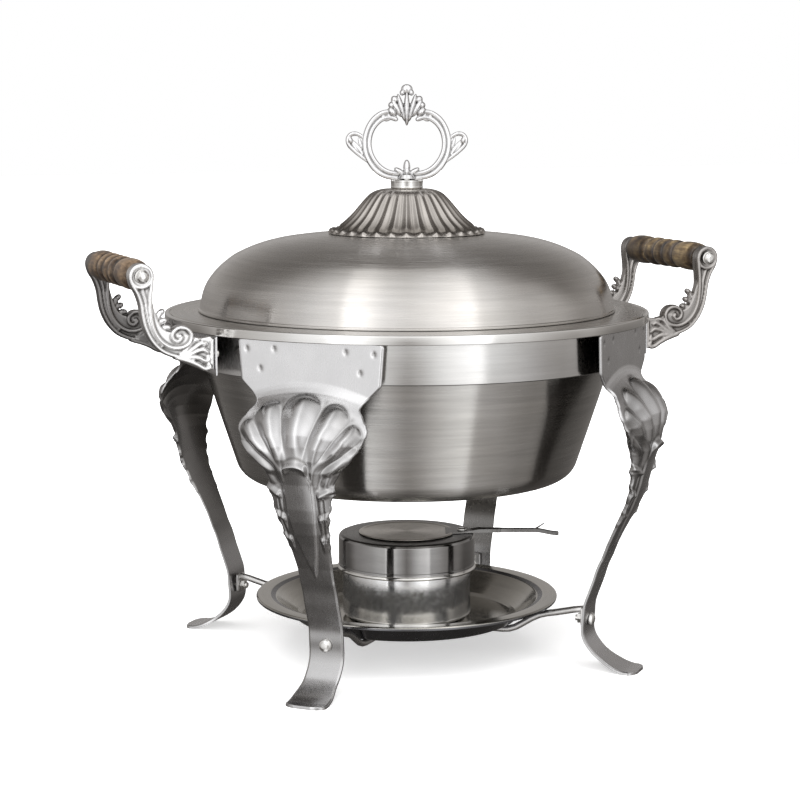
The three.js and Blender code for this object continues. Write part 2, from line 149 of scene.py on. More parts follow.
def lathe_mesh(prof, seg=192):
    """Vertices, faces and arc length of the profile [(r, z)] turned about Z. It closes on itself unless it starts on the axis."""
    verts, arc, rings, s = [], [], [], 0.0
    prof = [np.array(p[:2], float) for p in prof]
    clean = [prof[0]]
    for p in prof[1:]:
        if np.linalg.norm(p - clean[-1]) > 1e-4:
            clean.append(p)
    if clean[0][0] > 1e-6 and np.linalg.norm(clean[0] - clean[-1]) < 1e-4:
        clean.pop()
    for i, (r, z) in enumerate(clean):
        if i:
            s += float(np.hypot(*(clean[i] - clean[i - 1])))
        if r < 1e-6:
            rings.append([len(verts)] * seg)
            verts.append((0, 0, z))
            arc.append(s)
        else:
            rings.append(list(range(len(verts), len(verts) + seg)))
            for k in range(seg):
                a = 2 * math.pi * k / seg
                verts.append((r * math.cos(a), r * math.sin(a), z))
                arc.append(s)
    n = len(clean)
    faces = []
    for i in range(n if clean[0][0] > 1e-6 else n - 1):
        A, B = rings[i], rings[(i + 1) % n]
        for k in range(seg):
            f = []
            for v in (A[k], A[(k + 1) % seg], B[(k + 1) % seg], B[k]):
                if v not in f:
                    f.append(v)
            if len(f) > 2:
                faces.append(f)
    return verts, faces, np.array(arc) * MM


def lathe(name, prof, body, nodes, mat, seg=192, sharp=38, pick=None):
    v, f, arc = lathe_mesh(prof, seg)
    fm = None
    if pick is not None:
        va = np.array(v)
        fm = [pick(*np.array([math.hypot(*p[:2]) for p in va[q]]).mean(keepdims=True), va[q][:, 2].mean()) for q in f]
    return make(name, v, f, body, nodes, mat, sharp=sharp, attrs={"arc": arc}, face_mat=fm)


def tube(path, radius, sides=12, cap=True):
    """A swept round bar with rounded ends; radius is one number or one for each point."""
    P = [np.array(p, float) for p in path]
    R = [float(r) for r in (radius if hasattr(radius, "__len__") else [radius] * len(P))]
    T = [P[min(i + 1, len(P) - 1)] - P[max(i - 1, 0)] for i in range(len(P))]
    T = [t / np.linalg.norm(t) for t in T]
    up = np.array([0, 1.0, 0]) if abs(T[0][1]) < 0.9 else np.array([0, 0, 1.0])
    N = np.cross(T[0], up)
    N /= np.linalg.norm(N)
    verts, faces, rings = [], [], []

    def ring(c, t, n, r):
        b = np.cross(t, n)
        base = len(verts)
        for k in range(sides):
            a = 2 * math.pi * k / sides
            verts.append(c + r * (math.cos(a) * n + math.sin(a) * b))
        rings.append(base)

    if cap:
        for q in (0.25, 0.65):
            ring(P[0] - T[0] * R[0] * math.sqrt(1 - q * q), T[0], N, R[0] * q)
    for i, (p, t, r) in enumerate(zip(P, T, R)):
        N = N - t * (N @ t)
        N /= np.linalg.norm(N)
        ring(p, t, N, r)
    if cap:
        for q in (0.65, 0.25):
            ring(P[-1] + T[-1] * R[-1] * math.sqrt(1 - q * q), T[-1], N, R[-1] * q)
    for a, b in zip(rings, rings[1:]):
        for k in range(sides):
            k2 = (k + 1) % sides
            faces.append([a + k, a + k2, b + k2, b + k])
    faces.append(list(range(rings[0] + sides - 1, rings[0] - 1, -1)))
    faces.append(list(range(rings[-1], rings[-1] + sides)))
    return verts, faces


def ellipsoid(c, rad, axis=(0, 0, 1), seg=16, rows=10):
    """An ellipsoid with half sizes rad, its local Z turned to axis in the XZ plane."""
    ang = math.atan2(axis[0], axis[2])
    ca, sa = math.cos(ang), math.sin(ang)
    verts, faces = [], []
    for i in range(rows + 1):
        th = math.pi * (i + 0.02) / (rows + 0.04)
        for k in range(seg):
            ph = 2 * math.pi * k / seg
            x, y, z = rad[0] * math.sin(th) * math.cos(ph), rad[1] * math.sin(th) * math.sin(ph), rad[2] * math.cos(th)
            verts.append(np.array([c[0] + x * ca + z * sa, c[1] + y, c[2] - x * sa + z * ca]))
    for i in range(rows):
        for k in range(seg):
            k2 = (k + 1) % seg
            a, b = i * seg, (i + 1) * seg
            faces.append([a + k, a + k2, b + k2, b + k])
    faces.append(list(range(seg - 1, -1, -1)))
    faces.append(list(range(rows * seg, (rows + 1) * seg)))
    return verts, faces


def slab(outline, y0, y1):
    n = len(outline)
    verts = [np.array([x, y0, z]) for x, z in outline] + [np.array([x, y1, z]) for x, z in outline]
    faces = [list(range(n)), list(range(2 * n - 1, n - 1, -1))]
    for i in range(n):
        j = (i + 1) % n
        faces.append([i, j, n + j, n + i])
    return verts, faces


def fused(name, parts, voxel, body, nodes, mat, smooth=4, deep=0.3):
    """One cast-looking skin over overlapping parts: a voxel remesh, then a few smoothing passes."""
    verts, faces = [], []
    for v, f in parts:
        k = len(verts)
        verts += list(v)
        faces += [[i + k for i in q] for q in f]
    me = bpy.data.meshes.new(name + "_raw")
    me.from_pydata([tuple(v) for v in np.array(verts) * MM], [], faces)
    bm = bmesh.new()
    bm.from_mesh(me)
    # Each part's own faces are turned outwards before the remesh reads them.
    bmesh.ops.recalc_face_normals(bm, faces=bm.faces)
    bm.to_mesh(me)
    bm.free()
    raw = bpy.data.objects.new(name + "_raw", me)
    scene.collection.objects.link(raw)
    m = raw.modifiers.new("r", "REMESH")
    m.mode = "VOXEL"
    m.voxel_size = voxel * MM
    s = raw.modifiers.new("s", "SMOOTH")
    s.factor = 0.5
    s.iterations = smooth
    dg = bpy.context.evaluated_depsgraph_get()
    done = bpy.data.meshes.new_from_object(raw.evaluated_get(dg))
    bpy.data.objects.remove(raw)
    bpy.data.meshes.remove(me)
    done.name = name
    n = len(done.vertices)
    co = np.empty(n * 3)
    done.vertices.foreach_get("co", co)
    co = co.reshape(-1, 3)
    no = np.empty(n * 3)
    done.vertices.foreach_get("normal", no)
    no = no.reshape(-1, 3)
    ed = np.empty(len(done.edges) * 2, int)
    done.edges.foreach_get("vertices", ed)
    ed = ed.reshape(-1, 2)
    deg = np.maximum(np.bincount(ed.reshape(-1), minlength=n), 1)[:, None]

    def spread_out(x):
        y = np.zeros_like(x)
        np.add.at(y, ed[:, 0], x[ed[:, 1]])
        np.add.at(y, ed[:, 1], x[ed[:, 0]])
        return y / deg

    # Painted shade: the further a vertex sits below its smoothed neighbours, the darker its colour is painted, stored
    # as a vertex attribute for the material.
    low = co
    for _ in range(7):
        low = spread_out(low)
    painted_shade = np.clip(((low - co) * no).sum(1) / (deep * MM), 0, 1)[:, None]
    painted_shade = spread_out(painted_shade)[:, 0]
    done.attributes.new("painted_shade", "FLOAT", "POINT").data.foreach_set("value", painted_shade.astype(np.float32))
    done.materials.clear()
    done.materials.append(mat)
    done.shade_smooth()
    ob = bpy.data.objects.new(name, done)
    scene.collection.objects.link(ob)
    place(ob, body, nodes)
    return ob


# ------------------------------------------------------------------ materials
def start(name):
    m = bpy.data.materials.new(name)
    m.use_nodes = True
    nt = m.node_tree
    nt.nodes.clear()
    out = nt.nodes.new("ShaderNodeOutputMaterial")
    p = nt.nodes.new("ShaderNodeBsdfPrincipled")
    nt.links.new(p.outputs[0], out.inputs["Surface"])
    return m, nt, p


def nd(nt, kind, at=None, **kw):
    n = nt.nodes.new("ShaderNode" + kind)
    for k, v in kw.items():
        if k.startswith("i_"):
            key = k[2:]
            n.inputs[int(key) if key.isdigit() else key.replace("_", " ")].default_value = v
        else:
            setattr(n, k, v)
    return n


def ramp(nt, stops, interp="LINEAR"):
    n = nt.nodes.new("ShaderNodeValToRGB")
    cr = n.color_ramp
    cr.interpolation = interp
    while len(cr.elements) > 1:
        cr.elements.remove(cr.elements[-1])
    cr.elements[0].position = stops[0][0]
    first = True
    for pos, col in stops:
        c = (col, col, col, 1) if not hasattr(col, "__len__") else (*col[:3], 1)
        if first:
            cr.elements[0].color = c
            first = False
        else:
            cr.elements.new(pos).color = c
    return n


def brush_vector(nt, around, along):
    """Coordinates for lines that run round the axis: slow round the axis, fast along the profile."""
    L = nt.links.new
    tc = nd(nt, "TexCoord")
    flat = nd(nt, "VectorMath", operation="MULTIPLY")
    flat.inputs[1].default_value = (1, 1, 0)
    L(tc.outputs["Object"], flat.inputs[0])
    unit = nd(nt, "VectorMath", operation="NORMALIZE")
    L(flat.outputs[0], unit.inputs[0])
    sc = nd(nt, "VectorMath", operation="SCALE")
    sc.inputs["Scale"].default_value = around
    L(unit.outputs[0], sc.inputs[0])
    at = nd(nt, "Attribute", attribute_name="arc")
    mul = nd(nt, "Math", operation="MULTIPLY")
    mul.inputs[1].default_value = along
    L(at.outputs["Fac"], mul.inputs[0])
    comb = nd(nt, "CombineXYZ")
    L(mul.outputs[0], comb.inputs["Z"])
    add = nd(nt, "VectorMath", operation="ADD")
    L(sc.outputs[0], add.inputs[0])
    L(comb.outputs[0], add.inputs[1])
    return add.outputs[0]


def noise_at(nt, vec, scale, detail=3.0, rough=0.6, dist=0.0):
    n = nd(nt, "TexNoise")
    n.inputs["Scale"].default_value = scale
    n.inputs["Detail"].default_value = detail
    n.inputs["Roughness"].default_value = rough
    n.inputs["Distortion"].default_value = dist
    nt.links.new(vec, n.inputs["Vector"])
    return n.outputs["Fac"]


def span(nt, fac, lo, hi, a=0.3, b=0.7):
    n = nd(nt, "MapRange")
    n.inputs["From Min"].default_value = a
    n.inputs["From Max"].default_value = b
    n.inputs["To Min"].default_value = lo
    n.inputs["To Max"].default_value = hi
    nt.links.new(fac, n.inputs["Value"])
    return n.outputs["Result"]


def brushed(name, color, rough, aniso=0.85, spread=0.06, lines=0.35, tone=0.08, smudge=0.05, around=3.0):
    """Steel brushed round the axis."""
    m, nt, p = start(name)
    L = nt.links.new
    fine = noise_at(nt, brush_vector(nt, around, 1500), 1.0, 3, 0.7)
    broad = noise_at(nt, brush_vector(nt, around * 0.6, 260), 1.0, 3, 0.6)
    tc = nd(nt, "TexCoord")
    cloud = noise_at(nt, tc.outputs["Object"], 14, 3, 0.55)
    # Colour: slightly darker and lighter lines, with faint cloudy stains.
    mix = nd(nt, "Mix", data_type="RGBA", blend_type="MIX")
    mix.inputs["A"].default_value = tuple(c * (1 - tone) for c in color) + (1,)
    mix.inputs["B"].default_value = tuple(min(1, c * (1 + tone)) for c in color) + (1,)
    L(span(nt, broad, 0, 1), mix.inputs["Factor"])
    mix2 = nd(nt, "Mix", data_type="RGBA", blend_type="MULTIPLY")
    L(mix.outputs["Result"], mix2.inputs["A"])
    st = ramp(nt, [(0.35, (0.93, 0.92, 0.90)), (0.65, (1, 1, 1))])
    L(cloud, st.inputs["Fac"])
    L(st.outputs["Color"], mix2.inputs["B"])
    mix2.inputs["Factor"].default_value = 1.0
    L(mix2.outputs["Result"], p.inputs["Base Color"])
    # Roughness: the lines and the clouds together.
    r = nd(nt, "Math", operation="ADD")
    L(span(nt, fine, rough - spread, rough + spread), r.inputs[0])
    L(span(nt, cloud, -smudge / 2, smudge / 2), r.inputs[1])
    L(r.outputs[0], p.inputs["Roughness"])
    b = nd(nt, "Bump")
    b.inputs["Strength"].default_value = lines
    b.inputs["Distance"].default_value = 0.00006
    L(fine, b.inputs["Height"])
    L(b.outputs["Normal"], p.inputs["Normal"])
    tan = nd(nt, "Tangent", direction_type="RADIAL", axis="Z")
    L(tan.outputs["Tangent"], p.inputs["Tangent"])
    p.inputs["Metallic"].default_value = 1.0
    p.inputs["Anisotropic"].default_value = aniso
    p.inputs["Anisotropic Rotation"].default_value = 0.25
    return m


def satin(name, color, rough, grain=700, spread=0.05, strength=0.2, tone=0.07, stretch=(1, 1, 0.12), painted_shade_attr=None, dark=0.45):
    """Metal with a fine even grain; an optional vertex attribute paints shade into the colour, darkening the creases
    and hollows of a pressed or cast shape.
    """
    m, nt, p = start(name)
    L = nt.links.new
    tc = nd(nt, "TexCoord")
    mp = nd(nt, "Mapping")
    mp.inputs["Scale"].default_value = stretch
    L(tc.outputs["Object"], mp.inputs["Vector"])
    fine = noise_at(nt, mp.outputs["Vector"], grain, 3, 0.65)
    cloud = noise_at(nt, tc.outputs["Object"], 35, 4, 0.6, 0.4)
    mix = nd(nt, "Mix", data_type="RGBA", blend_type="MIX")
    mix.inputs["A"].default_value = tuple(c * (1 - tone) for c in color) + (1,)
    mix.inputs["B"].default_value = tuple(min(1, c * (1 + tone)) for c in color) + (1,)
    L(span(nt, cloud, 0, 1), mix.inputs["Factor"])
    last = mix.outputs["Result"]
    # Painted shade: the attribute multiplies the base colour towards the dark tone.
    if painted_shade_attr:
        at = nd(nt, "Attribute", attribute_name=painted_shade_attr)
        cm = nd(nt, "Mix", data_type="RGBA", blend_type="MULTIPLY")
        L(last, cm.inputs["A"])
        cm.inputs["B"].default_value = (dark, dark * 0.97, dark * 0.93, 1)
        L(at.outputs["Fac"], cm.inputs["Factor"])
        last = cm.outputs["Result"]
    L(last, p.inputs["Base Color"])
    r = nd(nt, "Math", operation="ADD")
    L(span(nt, fine, rough - spread, rough + spread), r.inputs[0])
    L(span(nt, cloud, -0.03, 0.03), r.inputs[1])
    L(r.outputs[0], p.inputs["Roughness"])
    b = nd(nt, "Bump")
    b.inputs["Strength"].default_value = strength
    b.inputs["Distance"].default_value = 0.00008
    L(fine, b.inputs["Height"])
    L(b.outputs["Normal"], p.inputs["Normal"])
    p.inputs["Metallic"].default_value = 1.0
    return m


def wood(name, light, mid, burnt):
    m, nt, p = start(name)
    L = nt.links.new
    tc = nd(nt, "TexCoord")
    mp = nd(nt, "Mapping")
    mp.inputs["Scale"].default_value = (1, 0.07, 1)
    L(tc.outputs["Object"], mp.inputs["Vector"])
    grain = noise_at(nt, mp.outputs["Vector"], 420, 5, 0.65, 0.6)
    blot = noise_at(nt, tc.outputs["Object"], 75, 3, 0.6, 0.5)
    pores = noise_at(nt, mp.outputs["Vector"], 1500, 2, 0.5)
    base = ramp(nt, [(0.30, mid), (0.52, [(a + b) / 2 for a, b in zip(mid, light)]), (0.68, light)])
    L(grain, base.inputs["Fac"])
    at = nd(nt, "Attribute", attribute_name="burn")
    wob = noise_at(nt, tc.outputs["Object"], 130, 3, 0.6)
    add = nd(nt, "Math", operation="ADD", use_clamp=True)
    L(at.outputs["Fac"], add.inputs[0])
    L(span(nt, wob, -0.22, 0.22), add.inputs[1])
    mix = nd(nt, "Mix", data_type="RGBA", blend_type="MIX")
    L(add.outputs[0], mix.inputs["Factor"])
    L(base.outputs["Color"], mix.inputs["A"])
    mix.inputs["B"].default_value = (*burnt, 1)
    pm = nd(nt, "Mix", data_type="RGBA", blend_type="MULTIPLY")
    pr = ramp(nt, [(0.38, (0.55, 0.5, 0.45)), (0.48, (1, 1, 1))])
    L(pores, pr.inputs["Fac"])
    L(mix.outputs["Result"], pm.inputs["A"])
    L(pr.outputs["Color"], pm.inputs["B"])
    pm.inputs["Factor"].default_value = 0.7
    bm_ = nd(nt, "Mix", data_type="RGBA", blend_type="MULTIPLY")
    bc = ramp(nt, [(0.4, (0.34, 0.3, 0.28)), (0.58, (1, 1, 1))])
    L(blot, bc.inputs["Fac"])
    L(pm.outputs["Result"], bm_.inputs["A"])
    L(bc.outputs["Color"], bm_.inputs["B"])
    bm_.inputs["Factor"].default_value = 1.0
    L(bm_.outputs["Result"], p.inputs["Base Color"])
    L(span(nt, grain, 0.34, 0.5), p.inputs["Roughness"])
    b = nd(nt, "Bump")
    b.inputs["Strength"].default_value = 0.35
    b.inputs["Distance"].default_value = 0.0002
    L(grain, b.inputs["Height"])
    L(b.outputs["Normal"], p.inputs["Normal"])
    p.inputs["Coat Weight"].default_value = 0.35
    p.inputs["Coat Roughness"].default_value = 0.18
    return m


M_LID = brushed("lid_brushed_steel", (0.66, 0.64, 0.62), 0.24, aniso=0.93)
M_PAN = brushed("pan_brushed_steel", (0.62, 0.61, 0.595), 0.22, aniso=0.93, tone=0.1)
M_RIM = brushed("rim_polished_steel", (0.78, 0.77, 0.755), 0.16, aniso=0.5, lines=0.15, tone=0.04)
M_INNER = brushed("food_pan_satin_steel", (0.7, 0.685, 0.665), 0.3, aniso=0.6)
M_HOOP = brushed("hoop_brushed_steel", (0.66, 0.655, 0.65), 0.2, aniso=0.85, tone=0.05)
M_TRAY = brushed("tray_polished_steel", (0.56, 0.545, 0.51), 0.15, aniso=0.5, tone=0.08, around=4, lines=0.2)
# Painted shade: the cover's side is toned far darker than the cup's steel.
M_HOLDER = brushed("fuel_holder_steel", (0.34, 0.335, 0.335), 0.13, aniso=0.7, spread=0.03, smudge=0.03, tone=0.05, around=4, lines=0.15)
M_DARK = brushed("fuel_cover_top_steel", (0.2, 0.195, 0.19), 0.3, aniso=0.4, tone=0.1, around=4)
M_DAMPER = brushed("damper_steel", (0.72, 0.69, 0.65), 0.34, aniso=0.6, tone=0.1, around=4)
M_ARM = satin("damper_arm_steel", (0.24, 0.235, 0.23), 0.3, grain=900)
M_CAP = satin("fluted_cap_steel", (0.5, 0.47, 0.44), 0.24, grain=900, painted_shade_attr="painted_shade", dark=0.45)
M_LEG = satin("stamped_leg_steel", (0.68, 0.675, 0.68), 0.26, grain=800, spread=0.03, strength=0.045, tone=0.05, painted_shade_attr="painted_shade", dark=0.3)
M_PLATE = satin("handle_plate_steel", (0.72, 0.715, 0.71), 0.28, grain=800)
# One polished casting in three tones: a painted-light copy, a painted-shade copy and a deep painted-shade copy for the
# brackets in shade.
M_CAST = satin("polished_casting_painted_lit", (0.88, 0.875, 0.875), 0.24, grain=260, spread=0.05, strength=0.2, tone=0.03, stretch=(1, 1, 1), painted_shade_attr="painted_shade", dark=0.2)
M_LOOP = satin("polished_loop_casting", (0.8, 0.795, 0.8), 0.2, grain=260, spread=0.05, strength=0.2, tone=0.04, stretch=(1, 1, 1), painted_shade_attr="painted_shade", dark=0.12)
M_CAST_R = satin("shaded_casting", (0.42, 0.4, 0.385), 0.26, grain=260, spread=0.05, strength=0.2, tone=0.05, stretch=(1, 1, 1), painted_shade_attr="painted_shade", dark=0.2)
M_CAST_D = satin("polished_casting_painted_deep_shade", (0.27, 0.26, 0.255), 0.3, grain=260, spread=0.05, strength=0.2, tone=0.05, stretch=(1, 1, 1), painted_shade_attr="painted_shade", dark=0.2)
M_CUP = satin("fuel_cup_steel", (0.86, 0.86, 0.865), 0.16, grain=300, stretch=(1, 1, 1))
M_CUP.node_tree.nodes["Principled BSDF"].inputs["Metallic"].default_value = 0.93
# Painted shade: the tray's underside is a much darker copy of its steel.
M_UNDER = satin("tray_underside_painted_shade_steel", (0.2, 0.2, 0.21), 0.25, grain=300, stretch=(1, 1, 1))
M_WIRE = satin("drawn_wire_steel", (0.6, 0.59, 0.58), 0.3, grain=900)
M_SCREW = satin("plated_screw_steel", (0.78, 0.77, 0.75), 0.2, grain=1200, stretch=(1, 1, 1))
M_WOOD_L = wood("turned_wood_brown", (0.34, 0.235, 0.145), (0.13, 0.085, 0.05), (0.022, 0.014, 0.009))
M_WOOD_R = wood("turned_wood_yellow", (0.34, 0.25, 0.13), (0.13, 0.088, 0.048), (0.018, 0.011, 0.011))

# ------------------------------------------------------------------ lid
DOME = [
    (3.3, 313.4), (40, 312.9), (58, 312.2), (70, 311.4), (82, 310.2), (94, 308.5), (104, 306.2), (113, 303.3),
    (121, 299.9), (127.5, 296.6), (132.5, 293), (137, 289.2), (141, 285.2), (144.2, 281.3), (146.6, 277.8),
    (148.7, 273.7), (150.4, 268.8), (151.6, 263.5), (152.3, 259.6),
]
dome_outer = catmull(DOME, 6)
dome_inner = [(max(r - 1.0 * (0.2 if r < 100 else 1), 3.3), z - (1.0 if r < 120 else 0.9)) for r, z in [tuple(q) for q in dome_outer]][::-1]
dome_prof = list(dome_outer) + rounded(
    [(152.3, 259.6), (152.5, 258.6), (153.4, 258.2), (153.4, 256.6), (148.4, 256.6), (148.4, 251.6), (147.4, 251.6), (147.4, 257.5), (151.2, 257.5), (151.3, 259)],
    0.35, 4,
)[1:] + dome_inner[1:]
lathe("lid_dome_skin", dome_prof, "lid", "lid_dome", M_LID, seg=256)

CAP = [(14, 344.9), (18, 344.7), (22.5, 343.6), (26.5, 341.6), (30, 338.4), (33.4, 334.6), (37, 330.3), (41, 325.8), (45.4, 321.7), (50, 318.2), (54, 315.7), (56.6, 314.5)]


def cap_mesh():
    pts = catmull(CAP, 7)
    n_fl, seg = 32, 32 * 16
    prof = [np.array([3.3, 344.2]), np.array([9, 344.7])] + list(pts)
    total = len(prof)
    verts, painted_shade, rings = [], [], []
    arc = np.r_[0, np.cumsum([np.hypot(*(prof[i + 1] - prof[i])) for i in range(total - 1)])]
    a = 2 * np.pi * np.arange(seg) / seg
    rib = 1 - np.abs(np.sin(a * n_fl / 2)) ** 1.25  # 1 on a crest, 0 in a valley
    for i, (r, z) in enumerate(prof):
        t = prof[min(i + 1, total - 1)] - prof[max(i - 1, 0)]
        nrm = np.array([-t[1], t[0]]) / np.linalg.norm(t)
        if nrm[1] < 0:
            nrm = -nrm
        amp = 1.35 * sstep(18, 42, r) + 0.25 * sstep(10, 18, r)
        bead = 1.0 * np.exp(-(((r - 55.6) / 1.9) ** 2))
        valley = 1.1 * np.exp(-(((r - 51.6) / 1.8) ** 2))
        h = -amp * (1 - rib) + bead * (0.35 + 0.9 * rib) - valley * (0.5 + 0.5 * rib)
        rings.append(len(verts))
        for k in range(seg):
            rr, zz = r + nrm[0] * h[k], z + nrm[1] * h[k]
            verts.append((rr * math.cos(a[k]), rr * math.sin(a[k]), zz))
            # Painted shade: the outer slope (all but the bead), the flute valleys and the groove above the bead are
            # darkened in colour.
            painted_shade.append(float(np.clip(0.8 * sstep(38, 53, r) * (1 - 1.2 * np.exp(-(((r - 56) / 2.2) ** 2))) + 0.3 * (1 - rib[k]) ** 2.2 * sstep(18, 38, r) * (1 - 0.6 * sstep(52, 54.5, r)) + 0.5 * valley, 0, 1)))
    # scalloped lower edge, then back up inside
    for (r, z, s) in [(58.0, 313.4, 1.1), (57.9, 312.75, 1.0), (55.5, 312.7, 0), (50, 315.2, 0), (42, 322.3, 0), (33, 332.2, 0), (26, 339.8, 0), (16, 342.6, 0), (3.3, 343.2, 0)]:
        rings.append(len(verts))
        for k in range(seg):
            rr = r - s * (1 - rib[k])
            verts.append((rr * math.cos(a[k]), rr * math.sin(a[k]), z))
            painted_shade.append(0.0)
    faces = []
    n = len(rings)
    for i in range(n):
        A, B = rings[i], rings[(i + 1) % n]
        for k in range(seg):
            k2 = (k + 1) % seg
            faces.append([A + k, A + k2, B + k2, B + k])
    return verts, faces, painted_shade


v, f, painted_shade = cap_mesh()
make("lid_fluted_cap_skin", v, f, "lid", "lid_fluted_cap", M_CAP, sharp=55, attrs={"painted_shade": painted_shade})

lathe(
    "lid_collar_skin",
    rounded([(3.3, 345.1), (11.4, 345.1), (12.1, 346.0), (11.7, 347.0), (11.9, 349.6), (12.1, 350.6), (11.3, 351.4), (3.3, 351.4)], 0.35, 4, closed=True),
    "lid", "lid_collar", M_RIM, seg=96,
)


# The cast loop: two strands side by side make the grooved ring, with curled leaves and a shell crest.
def mirror(parts):
    out = []
    for v, f in parts:
        out.append((v, f))
        out.append(([np.array([-p[0], p[1], p[2]]) for p in v], [q[::-1] for q in f]))
    return out


def plane(pts, y=0.0):
    return [np.array([p[0], y, p[1]]) for p in pts]


def loop_parts():
    side = []
    outer = [(0.5, 352.9), (7, 352.8), (14, 353.6), (20, 356.2), (25.2, 361.2), (28.8, 367.5), (30.6, 374.5), (30.6, 381.5), (28.6, 388.6), (24.8, 394.8), (19.6, 399.0), (14.5, 400.6), (9, 400.2)]
    inner = [(0.5, 355.8), (7, 355.9), (13, 356.9), (18.2, 359.6), (22.6, 364), (25.8, 369.6), (27.3, 375.3), (27.2, 381.2), (25.4, 387.3), (21.9, 392.3), (17.4, 395.6), (12.5, 396.6), (8, 395.4)]
    po, pi = catmull(outer, 6), catmull(inner, 6)
    side.append(tube(plane(po, 0.0), [1.85] * len(po)))
    side.append(tube(plane(pi, 0.0), [1.75] * len(pi)))
    mid = [(np.array(a) * 0.5 + np.array(b) * 0.5) for a, b in zip(po, pi)]
    side.append(tube(plane(mid, 0), [1.2] * len(mid)))
    # curled leaf: a blade from the ring up to the hook, and the hooked rim
    hook = catmull([(28.5, 364.5), (33, 368), (38, 372.2), (42, 376.2), (43.3, 380.4), (41.6, 383.8), (37.8, 384.9), (34, 383.6), (31.6, 381.2)], 6)
    side.append(tube(plane(hook), np.interp(np.linspace(0, 1, len(hook)), [0, 0.2, 0.55, 0.75, 1], [1.0, 1.5, 1.55, 1.7, 1.0])))
    side.append(ellipsoid((36.4, 0, 374.6), (2.3, 1.5, 7.2), axis=(0.62, 0, 0.78)))
    side.append(ellipsoid((41.3, 0, 380.2), (1.9, 2.6, 2.6), axis=(0.4, 0, 0.9)))
    side.append(ellipsoid((34.0, 0, 377.5), (1.3, 1.3, 5.0), axis=(0.25, 0, 0.97)))
    # little leaf curls where the ring meets the crest
    side.append(tube(plane(catmull([(17.5, 398), (15.4, 395.2), (12.6, 396.4), (13.2, 399.2)], 5)), 1.5))
    # crest lobes
    side.append(ellipsoid((10.6, 0, 400.8), (2.6, 3.6, 3.9), axis=(0.75, 0, 0.66)))
    side.append(ellipsoid((11.0, 0, 405.4), (2.4, 3.2, 2.7), axis=(0.9, 0, 0.5)))
    side.append(ellipsoid((8.9, 0, 409.6), (2.6, 3.2, 2.9), axis=(0.7, 0, 0.7)))
    side.append(ellipsoid((7.4, 0, 403.5), (2.5, 4.2, 7.4), axis=(0.5, 0, 0.86)))
    side.append(ellipsoid((4.0, 0, 403.8), (2.1, 4.8, 10.4), axis=(0.26, 0, 0.97)))
    side.append(ellipsoid((3.3, 0, 414.6), (2.0, 2.8, 2.2)))
    # base leaf
    side.append(ellipsoid((5.4, 0, 357.6), (1.9, 2.9, 4.4), axis=(0.85, 0, 0.5)))
    parts = mirror(side)
    parts.append(ellipsoid((0, 0, 403.0), (2.2, 5.0, 12.4)))
    parts.append(ellipsoid((0, 0, 417.2), (4.3, 3.2, 3.5)))
    parts.append(ellipsoid((0, 0, 360.6), (2.6, 3.3, 5.4)))
    parts.append(ellipsoid((0, 0, 357.4), (2.2, 3.6, 2.6)))
    parts.append(tube([(0, 0, 352.2), (0, 0, 355.2)], [7.4, 5.2], sides=20, cap=False))
    return parts


loop = fused("lid_handle_loop_cast", loop_parts(), 0.36, "lid", "lid_handle_loop", M_LOOP, smooth=2, deep=0.16)
loop.rotation_euler = (0, 0, TURN)

# ------------------------------------------------------------------ pans
WATER = [
    (0, 132), (109.5, 132, 0), (117.1, 133.7, 0), (123.1, 138.2, 0), (126.7, 144.8, 0), (144.1, 198, 0), (160.7, 252.0, 1.5), (162.4, 253.6, 1.5),
    (176.2, 253.6, 0.4), (176.5, 249.6, 0.4), (178.0, 249.6, 0.7), (178.0, 256.0, 1.2), (175.2, 256.4, 0.9), (174.7, 254.9, 0.6), (162, 254.9, 1.2),
    (159.9, 253.2, 1.2), (142.9, 198, 0), (125.6, 145.2, 0), (122.2, 139, 0), (116.6, 134.8, 0), (109.5, 133.2, 0), (0, 133.2),
]


def arc_pts(c, r, a0, a1, n):
    return [(c[0] + r * math.cos(math.radians(a)), c[1] + r * math.sin(math.radians(a))) for a in np.linspace(a0, a1, n)]


water = (
    [(0, 132), (40, 132), (80, 132)]
    + arc_pts((109.5, 150), 18, -90, -17.4, 12)
    + [(135.5, 171.5), (144.1, 198), (152.5, 225.4)]
    + rounded(WATER[5:16], 0.5, 5)[1:]
    + [(152, 227.6), (142.9, 198), (134.3, 171.9)]
    + arc_pts((109.5, 150), 16.8, -17.4, -90, 12)
    + [(80, 133.2), (0, 133.2)]
)
lathe("water_pan_skin", water, "water_pan", "water_pan", [M_PAN, M_RIM], seg=256, pick=lambda r, z: 1 if z > 249.4 and r > 161 else 0)

food = (
    [(0, 190), (60, 190)]
    + arc_pts((121, 205), 15, -90, -16.7, 8)
    + rounded([(135.4, 200.7), (151.2, 253.6, 1.2), (152.6, 255.2, 0.8), (173.6, 255.2, 0.3), (174.1, 255.7, 0.3), (173.6, 256.2, 0.3), (151.8, 256.2, 1.4), (150.2, 254.4, 0.8), (134.4, 201)], 0.4, 5)[1:]
    + arc_pts((121, 205), 14, -16.7, -90, 8)
    + [(60, 191), (0, 191)]
)
lathe("food_pan_skin", food, "food_pan", "food_pan", M_INNER, seg=256)

# ------------------------------------------------------------------ stand: hoop
lathe(
    "frame_band_skin",
    rounded([(162.8, 221.2), (163.4, 220.6), (164.2, 221.4), (164.2, 252.9), (163.6, 253.3), (162.7, 253.0)], 0.35, 4, closed=True),
    "stand", "frame_band", M_HOOP, seg=256,
)

